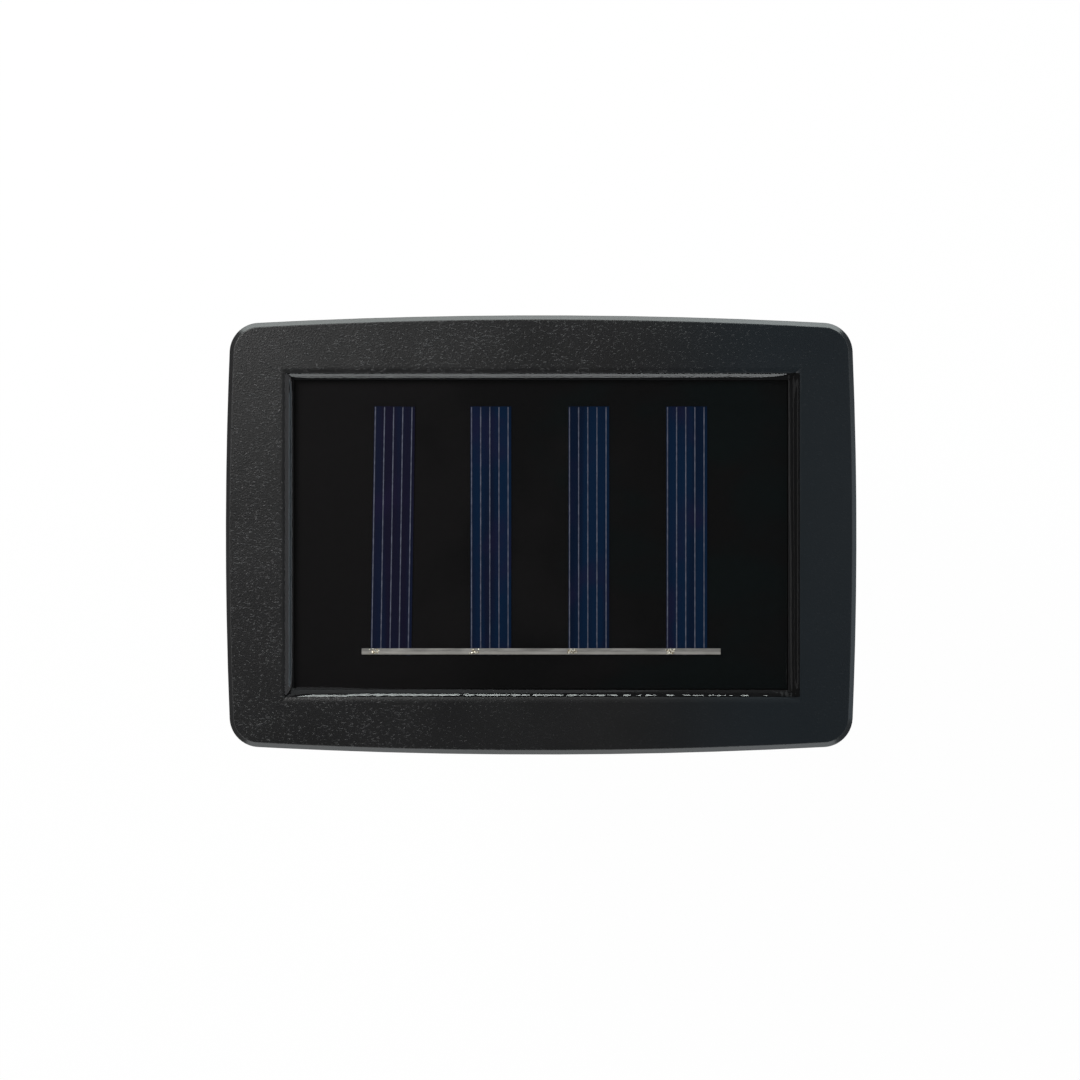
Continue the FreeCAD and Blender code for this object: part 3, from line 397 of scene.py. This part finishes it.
def metal(name, dark, light, roughness):
    """Plated metal with a cloudy tone and fine unevenness."""
    finish = Finish(name, Metallic=1.0)
    tree = finish.tree
    cloud = finish.noise(0.6 * MM, 3.0)
    wear = finish.group(HANDLING, Roughness=roughness, Spread=0.2, Size=2 * MM)
    tone = blend_colours(tree, ramp(tree, cloud, 0.3, 0.7), dark, light)
    finish.feed(Base_Color=tone, Roughness=wear["Roughness"])
    finish.bump(cloud, 0.004 * MM)
    return finish.material


def tinned_ribbon():
    """Ribbon dipped in tin: two bands with a thin dark line between them."""
    finish = Finish("Tinned ribbon", Metallic=0.6, Roughness=0.45)
    tree = finish.tree
    low, high = span("busbar_ribbon", 1)
    share = math_of(tree, "DIVIDE", math_of(tree, "SUBTRACT", finish.axis("Y"), low), high - low)
    rear_band = ramp(tree, share, 0.46, 0.56)
    from_line = math_of(tree, "ABSOLUTE", math_of(tree, "SUBTRACT", share, 0.5))
    line = math_of(tree, "SUBTRACT", 1.0, ramp(tree, from_line, 0.03, 0.1))
    tone = blend_colours(tree, rear_band, srgb(168, 165, 158), srgb(143, 141, 136))
    streaks = ramp(tree, finish.noise(1.6 * MM, 3.0, (0.35, 2.0, 1.0)), 0.35, 0.7)
    streaked = blend_colours(tree, math_of(tree, "MULTIPLY", streaks, 0.5), tone, srgb(206, 203, 196))
    shade = math_of(tree, "MULTIPLY", line, 0.45)
    finish.feed(Base_Color=blend_colours(tree, shade, streaked, srgb(104, 102, 99)))
    finish.bump(math_of(tree, "ADD", math_of(tree, "MULTIPLY", line, -1.0), streaks), 0.02 * MM)
    return finish.material


def solder():
    """Bright solder speckled with yellowish flux."""
    finish = Finish("Solder and flux", Metallic=0.7, Roughness=0.3)
    tree = finish.tree
    flux = ramp(tree, finish.noise(0.28 * MM, 2.0), 0.46, 0.58)
    finish.feed(Base_Color=blend_colours(tree, flux, srgb(236, 232, 216), srgb(128, 114, 88)))
    finish.bump(finish.noise(0.2 * MM, 2.0), 0.08 * MM)
    return finish.material


def clear_resin():
    """Glossy clear resin: its skin mirrors and lets the light through to the cells.

    The mirror comes once, at the outer skin, and a painted shade darkens the resin where it lies on the roll.
    """
    finish = Finish("Clear resin", **{"Base Color": grey(0.0), "Roughness": 0.02, "IOR": 1.5})
    tree = finish.tree
    finish.bump(finish.noise(9 * MM, 1.0), 0.012 * MM, 0.5)
    gloss = add(tree, "ShaderNodeFresnel", {"IOR": 1.5}).outputs[0]
    outer = math_of(tree, "SUBTRACT", 1.0, add(tree, "ShaderNodeNewGeometry").outputs["Backfacing"])
    half_depth = (resin_high.y - resin_low.y) / 2
    dark_edge = 0.25 * MM
    across, along = finish.outside_of(resin_high.x - dark_edge, half_depth - dark_edge)
    on_roll = ramp(tree, math_of(tree, "MAXIMUM", across, along), -0.2 * MM, 0.1 * MM)
    # Painted shade: the clear resin is tinted dark where it lies on the roll, which darkens the roll seen
    # through it.
    painted_roll_shade = blend_colours(tree, on_roll, (0.97, 0.97, 0.98, 1.0), (0.45, 0.45, 0.46, 1.0))
    clear = add(tree, "ShaderNodeBsdfTransparent", {"Color": painted_roll_shade}).outputs[0]
    mirror = add(tree, "ShaderNodeBsdfGlossy", {"Color": grey(1.0), "Roughness": 0.03})
    tree.links.new(tree.nodes["Bump"].outputs[0], mirror.inputs["Normal"])
    share = math_of(tree, "MULTIPLY", gloss, outer)
    mixed = add(tree, "ShaderNodeMixShader", {0: share, 1: clear, 2: mirror.outputs[0]})
    tree.nodes.remove(finish.surface)
    tree.links.new(mixed.outputs[0], finish.output.inputs["Surface"])
    return finish.material


def frosted_lens():
    """Milky clear plastic that spreads the diodes' light."""
    finish = Finish("Frosted lens", **{"IOR": 1.49, "Transmission Weight": 0.75, "Specular IOR Level": 0.5})
    tree = finish.tree
    mist = ramp(tree, finish.noise(4 * MM, 4.0), 0.3, 0.7)
    finish.feed(Base_Color=blend_colours(tree, mist, srgb(234, 237, 238), srgb(242, 244, 244)))
    finish.feed(Roughness=ramp(tree, finish.noise(2 * MM, 3.0), 0.3, 0.7, 0.34, 0.46))
    finish.bump(finish.noise(0.35 * MM, 2.0), 0.01 * MM)
    return finish.material


def smooth_plastic(name, first, second, roughness):
    """Ungrained plastic, rubber, sleeve or board with a soft uneven tone."""
    finish = Finish(name)
    tree = finish.tree
    wear = finish.group(HANDLING, Roughness=roughness, Spread=0.15, Size=3 * MM)
    finish.feed(Base_Color=blend_colours(tree, wear["Dust"], first, second), Roughness=wear["Roughness"])
    finish.bump(finish.noise(0.3 * MM, 2.0), 0.004 * MM)
    return finish.material


def two_part(name, axis, border, below, above, metallic):
    """Dull finish that turns into bare metal where a coordinate passes the border."""
    finish = Finish(name)
    tree = finish.tree
    soft_edge = 0.02 * MM
    far = ramp(tree, finish.axis(axis), border - soft_edge, border + soft_edge)
    cloud = ramp(tree, finish.noise(1.5 * MM, 3.0), 0.3, 0.7, 0.85, 1.1)
    tone = blend_colours(tree, far, below, above)
    shade = add(tree, "ShaderNodeCombineColor", {0: cloud, 1: cloud, 2: cloud}).outputs[0]
    finish.feed(Base_Color=blend_colours(tree, 1.0, tone, shade, "MULTIPLY"))
    finish.feed(Metallic=ramp(tree, far, 0.0, 1.0, 0.0, metallic))
    finish.feed(Roughness=ramp(tree, cloud, 0.85, 1.1, 0.5, 0.36))
    return finish.material


def dress(material, *names):
    """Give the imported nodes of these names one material."""
    for name in names:
        for slot in nodes[name].material_slots:
            slot.material = material


# ---- the camera and the light --------------------------------------------------------
def photo_point(x, y):
    """World place, on the cover's widest outline, of a point of the photograph."""
    right = (x - OUTLINE_CENTRE[0]) * PHOTO_PIXEL
    up = (OUTLINE_CENTRE[1] - y) * PHOTO_PIXEL
    return Vector((cover_mid.x + right, cover_mid.y + up, cover_top - BEVEL_DEPTH))


def camera():
    """Straight above, with the photograph's framing at the height of the cover's outline."""
    data = bpy.data.cameras.new("Camera")
    data.sensor_width = 36.0
    data.lens = data.sensor_width * CAMERA_DISTANCE / (PHOTO_SIZE * PHOTO_PIXEL)
    view = bpy.data.objects.new("Camera", data)
    view.location = photo_point(PHOTO_SIZE / 2, PHOTO_SIZE / 2) + Vector((0, 0, CAMERA_DISTANCE))
    bpy.context.collection.objects.link(view)
    bpy.context.scene.camera = view


def area_light(name, size, glow, colour):
    """Rectangular lamp whose face has the same brightness whatever its size."""
    data = bpy.data.lights.new(name, "AREA")
    data.shape = "RECTANGLE"
    data.size, data.size_y = size
    data.energy = glow * math.pi * size[0] * size[1]
    data.color = colour
    light = bpy.data.objects.new(name, data)
    bpy.context.collection.objects.link(light)
    return light


def lamp(name, place, size, glow, colour):
    """Lamp at a place measured from the middle of the cover's top, which it faces."""
    light = area_light(name, size, glow, colour)
    light.location = cover_centre + Vector(place)
    light.rotation_euler = (-Vector(place)).to_track_quat("-Z", "Y").to_euler()


def tube(name, lean, azimuth, width, glow):
    """Long white ceiling lamp, leaning from the zenith towards an azimuth. Angles in degrees."""
    lean, azimuth = math.radians(lean), math.radians(azimuth)
    flat = Vector((math.cos(azimuth), math.sin(azimuth), 0))
    towards = flat * math.sin(lean) + Vector((0, 0, math.cos(lean)))
    along = Vector((-flat.y, flat.x, 0))
    light = area_light(name, (TUBE_LENGTH, width), glow, (1.0, 1.0, 1.0))
    light.location = cover_centre + towards * TUBE_DISTANCE
    light.rotation_euler = Matrix((along, towards.cross(along), towards)).transposed().to_euler()


def lights():
    """Key light at the rear left, windows behind and in front, weak fills at the right."""
    lamp("Key", (-0.20, 0.165, 0.235), (0.13, 0.13), 18.0, (1.0, 0.985, 0.97))
    lamp("Window behind", (0.0, 0.42, 0.055), (0.8, 0.15), 7.0, (0.93, 1.0, 0.98))
    lamp("Upper window behind", (-0.12, 0.27, 0.36), (0.28, 0.34), 0.42, (0.93, 0.97, 1.0))
    lamp("Window in front", (0.0, -0.42, 0.11), (0.6, 0.26), 2.9, (0.95, 0.99, 1.0))
    lamp("Fill right", (0.42, -0.02, 0.04), (0.16, 0.16), 1.0, (0.70, 0.88, 1.0))
    lamp("Upper fill right", (0.25, 0.0, 0.20), (0.22, 0.34), 0.80, (0.95, 0.96, 1.0))
    tube("Left tube", 27, 180, 0.125, 0.28)


def world():
    """White for the camera. Everything else meets a bright horizon under a dark ceiling."""
    sky = bpy.data.worlds.new("Studio")
    sky.use_nodes = True
    tree = sky.node_tree
    tree.nodes.clear()
    direction = add(tree, "ShaderNodeTexCoord").outputs["Generated"]
    height = add(tree, "ShaderNodeSeparateXYZ", {0: direction}).outputs["Z"]
    glow = ramp(tree, height, 0.02, 0.4, 0.22, 0.055)
    path = add(tree, "ShaderNodeLightPath").outputs
    seen = math_of(tree, "MAXIMUM", path["Is Camera Ray"], path["Is Transmission Ray"])
    strength = math_of(tree, "MAXIMUM", seen, glow)
    back = add(tree, "ShaderNodeBackground", {"Color": grey(1.0), "Strength": strength})
    add(tree, "ShaderNodeOutputWorld", {"Surface": back.outputs[0]})
    bpy.context.scene.world = sky


def floor():
    """Pale floor well under the lamp. It shows white from above and is clear from below."""
    ground = cad_box[0].z - FLOOR_DROP
    corners = [(x * FLOOR_HALF, y * FLOOR_HALF, ground) for x, y in ((-1, -1), (1, -1), (1, 1), (-1, 1))]
    mesh = bpy.data.meshes.new("Floor")
    mesh.from_pydata(corners, [], [(0, 1, 2, 3)])
    plane = bpy.data.objects.new("Floor", mesh)
    bpy.context.collection.objects.link(plane)
    finish = Finish("Floor white", **{"Base Color": grey(0.82), "Roughness": 0.9})
    tree = finish.tree
    path = add(tree, "ShaderNodeLightPath").outputs
    mirrored = math_of(tree, "MAXIMUM", path["Is Glossy Ray"], path["Is Transmission Ray"])
    seen = math_of(tree, "MAXIMUM", path["Is Camera Ray"], mirrored)
    share = math_of(tree, "MULTIPLY", seen, 0.98)
    white = add(tree, "ShaderNodeEmission", {"Strength": 1.0}).outputs[0]
    above = add(tree, "ShaderNodeMixShader", {0: share, 1: finish.surface.outputs[0], 2: white}).outputs[0]
    under = add(tree, "ShaderNodeNewGeometry").outputs["Backfacing"]
    clear = add(tree, "ShaderNodeBsdfTransparent").outputs[0]
    mixed = add(tree, "ShaderNodeMixShader", {0: under, 1: above, 2: clear})
    tree.links.new(mixed.outputs[0], finish.output.inputs["Surface"])
    mesh.materials.append(finish.material)


# ---- the poured resin ----------------------------------------------------------------
def graded(half, first, growth, largest):
    """Places from -half to half, at steps that grow from both ends to the largest."""
    places = [0.0]
    step = first
    while places[-1] < half:
        places.append(places[-1] + step)
        step = min(step * growth, largest)
    scale = half / places[-1]
    return [p * scale - half for p in places] + [half - p * scale for p in reversed(places[:-1])]


def roll_height(beyond):
    """Height of the rolled edge this far outside the pocket's foot."""
    inward = ROLL - max(0.0, min(ROLL, beyond))
    return cover_top - ROLL + math.sqrt(ROLL * ROLL - inward * inward)


def wave(along, length, seed):
    """Soft random sway, within -1 to 1, of this wavelength."""
    return noise.noise(Vector((along / length, seed, 0.5 * seed)))


def soft_highest(first, second, blend):
    """The higher of two heights, rounded over where they meet."""
    gap = max(blend - abs(first - second), 0.0) / blend
    return max(first, second) + gap * gap * blend / 4


def resin_height(x, y, foot_x, foot_y):
    """Height of the resin's skin: a nearly level pool that climbs to the crease.

    Each side has the gap to its crease, the share of the height that the resin climbs there and
    the reach of the climb in millimetres. Where the share is small, only a film covers the roll,
    and at the front the film is ragged. In each corner the resin fills up to the crease, and at
    the right it is rippled.
    """
    pool = resin_high.z + POOL_LIFT + POOL_LEAN * x / CREASE_X
    crease = roll_height(CREASE_X - foot_x) + FILM
    left, right = CREASE_X + x, CREASE_X - x
    front, rear = CREASE_Y + y, CREASE_Y - y
    past_left = max(0.0, min(1.0, (x + 35 * MM) / (5 * MM)))
    climbs = (
        (left, 0.22 + 0.05 * wave(y, 9 * MM, 2.2), 1.2),
        (rear, 0.2 + 0.05 * wave(x, 9 * MM, 3.3), 1.2),
        (right, 1.0, 1.9 + 0.05 * wave(y, 14 * MM, 5.5)),
        (front, 0.86 - 0.12 * past_left + 0.04 * wave(x, 12 * MM, 6.6), 0.95),
    )
    corner = sum(math.exp(-(a + b) / CORNER_FILL) for a in (left, right) for b in (front, rear))
    level = 1.0
    for gap, climb, reach in climbs:
        level *= 1.0 - climb * math.exp(-gap / (reach * MM))
    share = corner + (1.0 - corner) * (1.0 - level)
    height = pool + (crease - pool) * min(share, 1.0)

    from_first = right + 0.2 * MM * wave(y, 20 * MM, 8.8) - 0.012 * front - 0.865 * MM
    in_band = math.exp(-((right - RIPPLES_FROM_CREASE) / RIPPLES_HALF_WIDTH) ** 4)
    height += RIPPLE * math.sin(math.tau * from_first / RIPPLE_LENGTH) * (1.0 - corner) * in_band

    film_y = roll_height(abs(y) - foot_y)
    if y < 0:
        ragged = 0.4 + 0.8 * wave(x, 1.2 * MM, 4.1) + 0.4 * wave(x, 0.5 * MM, 9.7)
        film_y += RAGGED_FILM * max(ragged, 0.0) * math.exp(-(front / (0.3 * MM)) ** 2)
    film = max(roll_height(abs(x) - foot_x), film_y) + FILM
    blend = (0.05 + 0.25 * math.exp(-left / (2 * MM))) * MM
    return min(soft_highest(height, film, blend), cover_top - 0.01 * MM)


def resin_skin(mesh, foot_x, foot_y):
    """Rows of points over the pool and up to its wet edge, from front to rear, with their faces."""
    rows = []
    for y in graded(CREASE_Y, 0.06 * MM, 1.06, 1.0 * MM):
        row = []
        for x in graded(CREASE_X, 0.07 * MM, 1.05, 0.2 * MM):
            if x < 0:
                x *= WET_LEFT / CREASE_X
            height = resin_height(x, y, foot_x, foot_y)
            row.append(mesh.verts.new((cover_mid.x + x, cover_mid.y + y, height)))
        rows.append(row)
    for lower, upper in zip(rows, rows[1:]):
        for i in range(len(lower) - 1):
            mesh.faces.new((lower[i], lower[i + 1], upper[i + 1], upper[i]))
    return rows


def resin():
    """Resin in the pocket, from the panel up to its wet edge on the roll."""
    foot_x = (board_high.x - board_low.x) / 2 + FOOT_GAP
    foot_y = (board_high.y - board_low.y) / 2 + FOOT_GAP
    mesh = bmesh.new()
    rows = resin_skin(mesh, foot_x, foot_y)
    rim = rows[0] + [row[-1] for row in rows[1:]] + rows[-1][-2::-1] + [row[0] for row in rows[-2:0:-1]]
    foot = []
    for vert in rim:
        x = max(-foot_x, min(foot_x, vert.co.x - cover_mid.x))
        y = max(-foot_y, min(foot_y, vert.co.y - cover_mid.y))
        foot.append(mesh.verts.new((cover_mid.x + x, cover_mid.y + y, board_high.z + FILM)))
    for i in range(len(rim)):
        j = (i + 1) % len(rim)
        corners = [rim[j], rim[i], foot[i], foot[j]]
        if (foot[i].co - foot[j].co).length <= LEAST_STEP:
            corners.pop()
        mesh.faces.new(corners)
    bmesh.ops.remove_doubles(mesh, verts=foot, dist=LEAST_STEP)
    ring = [vert for vert in foot if vert.is_valid]
    mesh.faces.new(ring[::-1])
    for first, second in zip(rim, rim[1:] + rim[:1]):
        mesh.edges.get((first, second)).smooth = False
    return finished(mesh, "poured_resin", clear_resin(), "lamp", "clear_resin", "potting_resin")


def finished(mesh, name, material, body, slot, *replaced):
    """Object from a bmesh, smooth, that rides on a body and stands for the nodes named."""
    data = bpy.data.meshes.new(name)
    mesh.to_mesh(data)
    mesh.free()
    for face in data.polygons:
        face.use_smooth = True
    data.materials.append(material)
    piece = bpy.data.objects.new(name, data)
    bpy.context.collection.objects.link(piece)
    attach(piece, body)
    if replaced:
        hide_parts(*replaced)
    return piece


# ---- the solder ----------------------------------------------------------------------
def solder_tree(material):
    """Heap of small flat lumps about each point of the given mesh."""
    tree = bpy.data.node_groups.new("Solder heap", "GeometryNodeTree")
    sockets = [
        ("Geometry", "NodeSocketGeometry", None),
        ("Lumps", "NodeSocketInt", 30),
        ("Seed", "NodeSocketInt", 7),
        ("Spread", VECTOR, (0.85 * MM, 0.40 * MM, 0.02 * MM)),
        ("Lump Radius", FLOAT, 0.13 * MM),
        ("Flatness", FLOAT, 0.5),
    ]
    for label, kind, value in sockets:
        socket = tree.interface.new_socket(label, in_out="INPUT", socket_type=kind)
        if value is not None:
            socket.default_value = value
    tree.interface.new_socket("Geometry", in_out="OUTPUT", socket_type="NodeSocketGeometry")
    given = add(tree, "NodeGroupInput").outputs

    points = add(tree, "GeometryNodeMeshToPoints", {"Mesh": given["Geometry"]}).outputs[0]
    copies = {"Geometry": points, "Amount": given["Lumps"]}
    many = add(tree, "GeometryNodeDuplicateElements", copies, domain="POINT").outputs[0]
    ends = {"Min": (-1, -1, 0), "Max": (1, 1, 1), "Seed": given["Seed"]}
    anywhere = add(tree, "FunctionNodeRandomValue", ends, data_type="FLOAT_VECTOR").outputs[0]
    offset = stretched(tree, anywhere, given["Spread"])
    strewn = add(tree, "GeometryNodeSetPosition", {"Geometry": many, "Offset": offset}).outputs[0]

    sizes = {2: 0.6, 3: 1.3, "Seed": given["Seed"]}
    size = add(tree, "FunctionNodeRandomValue", sizes, data_type="FLOAT").outputs[1]
    height = math_of(tree, "MULTIPLY", size, given["Flatness"])
    scale = add(tree, "ShaderNodeCombineXYZ", {0: size, 1: size, 2: height}).outputs[0]
    ball = {"Radius": given["Lump Radius"], "Subdivisions": 2}
    lump = add(tree, "GeometryNodeMeshIcoSphere", ball).outputs[0]

    placed = {"Points": strewn, "Instance": lump, "Scale": scale}
    heap = add(tree, "GeometryNodeInstanceOnPoints", placed).outputs[0]
    whole = add(tree, "GeometryNodeRealizeInstances", {"Geometry": heap}).outputs[0]
    coated = add(tree, "GeometryNodeSetMaterial", {"Geometry": whole, "Material": material}).outputs[0]
    add(tree, "NodeGroupOutput", {"Geometry": coated})
    return tree


def grown(name, points, tree, material, **values):
    """Plain bmesh that a geometry tree grows from a list of points."""
    seeds = bpy.data.meshes.new(name)
    seeds.from_pydata(points, [], [])
    seeds.materials.append(material)
    holder = bpy.data.objects.new(name, seeds)
    bpy.context.collection.objects.link(holder)
    modifier = holder.modifiers.new(name, "NODES")
    modifier.node_group = tree
    for socket in tree.interface.items_tree:
        label = socket.name.replace(" ", "_")
        if socket.in_out == "INPUT" and label in values:
            modifier[socket.identifier] = values[label]
    bpy.context.view_layer.update()
    depsgraph = bpy.context.evaluated_depsgraph_get()
    made = bpy.data.meshes.new_from_object(holder.evaluated_get(depsgraph))
    holder.modifiers.clear()
    bpy.data.objects.remove(holder)
    mesh = bmesh.new()
    mesh.from_mesh(made)
    return mesh


def solder_heaps():
    """Solder where each strip's left finger meets the ribbon."""
    from_edge = 0.7 * MM
    seat = 0.02 * MM
    ribbon_low, ribbon_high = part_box("busbar_ribbon")
    middle = (ribbon_low.y + ribbon_high.y) / 2
    points = [(span(strip, 0)[0] + from_edge, middle, ribbon_high.z + seat) for strip in STRIPS]
    material = solder()
    mesh = grown("solder_heaps", points, solder_tree(material), material, Lumps=34)
    return finished(mesh, "solder_heaps", material, "lamp", "solder", "solder_joints")


# ---- everything together -------------------------------------------------------------
bpy.context.scene.view_settings.view_transform = "Standard"
camera()
lights()
world()
floor()
resin()
solder_heaps()

zinc = metal("Zinc plate", srgb(150, 152, 150), srgb(196, 198, 196), 0.32)
steel = metal("Plated steel", srgb(160, 160, 158), srgb(205, 205, 202), 0.28)
rubber = smooth_plastic("Seal rubber", srgb(30, 30, 31), srgb(40, 40, 41), 0.75)
white = smooth_plastic("Reflector white", srgb(226, 228, 226), srgb(240, 241, 240), 0.35)
component = smooth_plastic("Component black", srgb(24, 24, 25), srgb(34, 34, 36), 0.45)
case_plastic = moulded_plastic("Case plastic", srgb(27, 28, 29), srgb(34, 35, 37))
bracket = moulded_plastic("Bracket plastic", srgb(26, 27, 28), srgb(34, 35, 37), 0.25 * MM, 0.55)
knob = smooth_plastic("Knob plastic", srgb(176, 178, 180), srgb(196, 198, 199), 0.4)
board_white = smooth_plastic("Board white", srgb(214, 217, 212), srgb(228, 230, 226), 0.4)
board_green = smooth_plastic("Board green", srgb(22, 84, 50), srgb(34, 104, 64), 0.35)
diode = smooth_plastic("Diode body", srgb(214, 216, 206), srgb(232, 234, 226), 0.15)
red_sleeve = smooth_plastic("Red sleeve", srgb(150, 22, 20), srgb(172, 34, 30), 0.4)
black_sleeve = smooth_plastic("Black sleeve", srgb(22, 22, 23), srgb(34, 34, 35), 0.4)

choke_base = span("inductor", 2)[0] + 0.8 * MM
choke = two_part("Choke winding", "Z", choke_base, srgb(40, 40, 42), srgb(170, 92, 50), 0.9)
can_rim = span("capacitor", 2)[1] - 0.3 * MM
can = two_part("Capacitor can", "Z", can_rim, srgb(22, 30, 70), srgb(190, 192, 194), 1.0)
sleeve_end = span("battery", 0)[1] - 1.2 * MM
sleeve = two_part("Battery sleeve", "X", sleeve_end, srgb(38, 108, 62), srgb(196, 196, 194), 1.0)

dress(cover_plastic(), "top_cover")
dress(panel_black(), "panel_board")
dress(silicon_blue(), *STRIPS)
dress(silver_print(), "cell_fingers")
dress(tinned_ribbon(), "busbar_ribbon")
dress(frosted_lens(), "lens")
dress(rubber, "cover_seal", "lens_seal", "door_seal")
dress(white, "reflector")
dress(case_plastic, "housing", "battery_door")
dress(bracket, "wall_bracket")
dress(knob, "switch_knob")
dress(zinc, "case_screws", "led_board_screws", "control_board_screws", "door_screw")
dress(steel, "battery_contacts", "battery_spring", "battery_cap")
dress(board_white, "led_board")
dress(board_green, "control_board")
dress(component, "driver_chip", "switch_body")
dress(choke, "inductor")
dress(can, "capacitor")
dress(sleeve, "battery")
dress(diode, "leds")
dress(red_sleeve, "wires_red")
dress(black_sleeve, "wires_black")
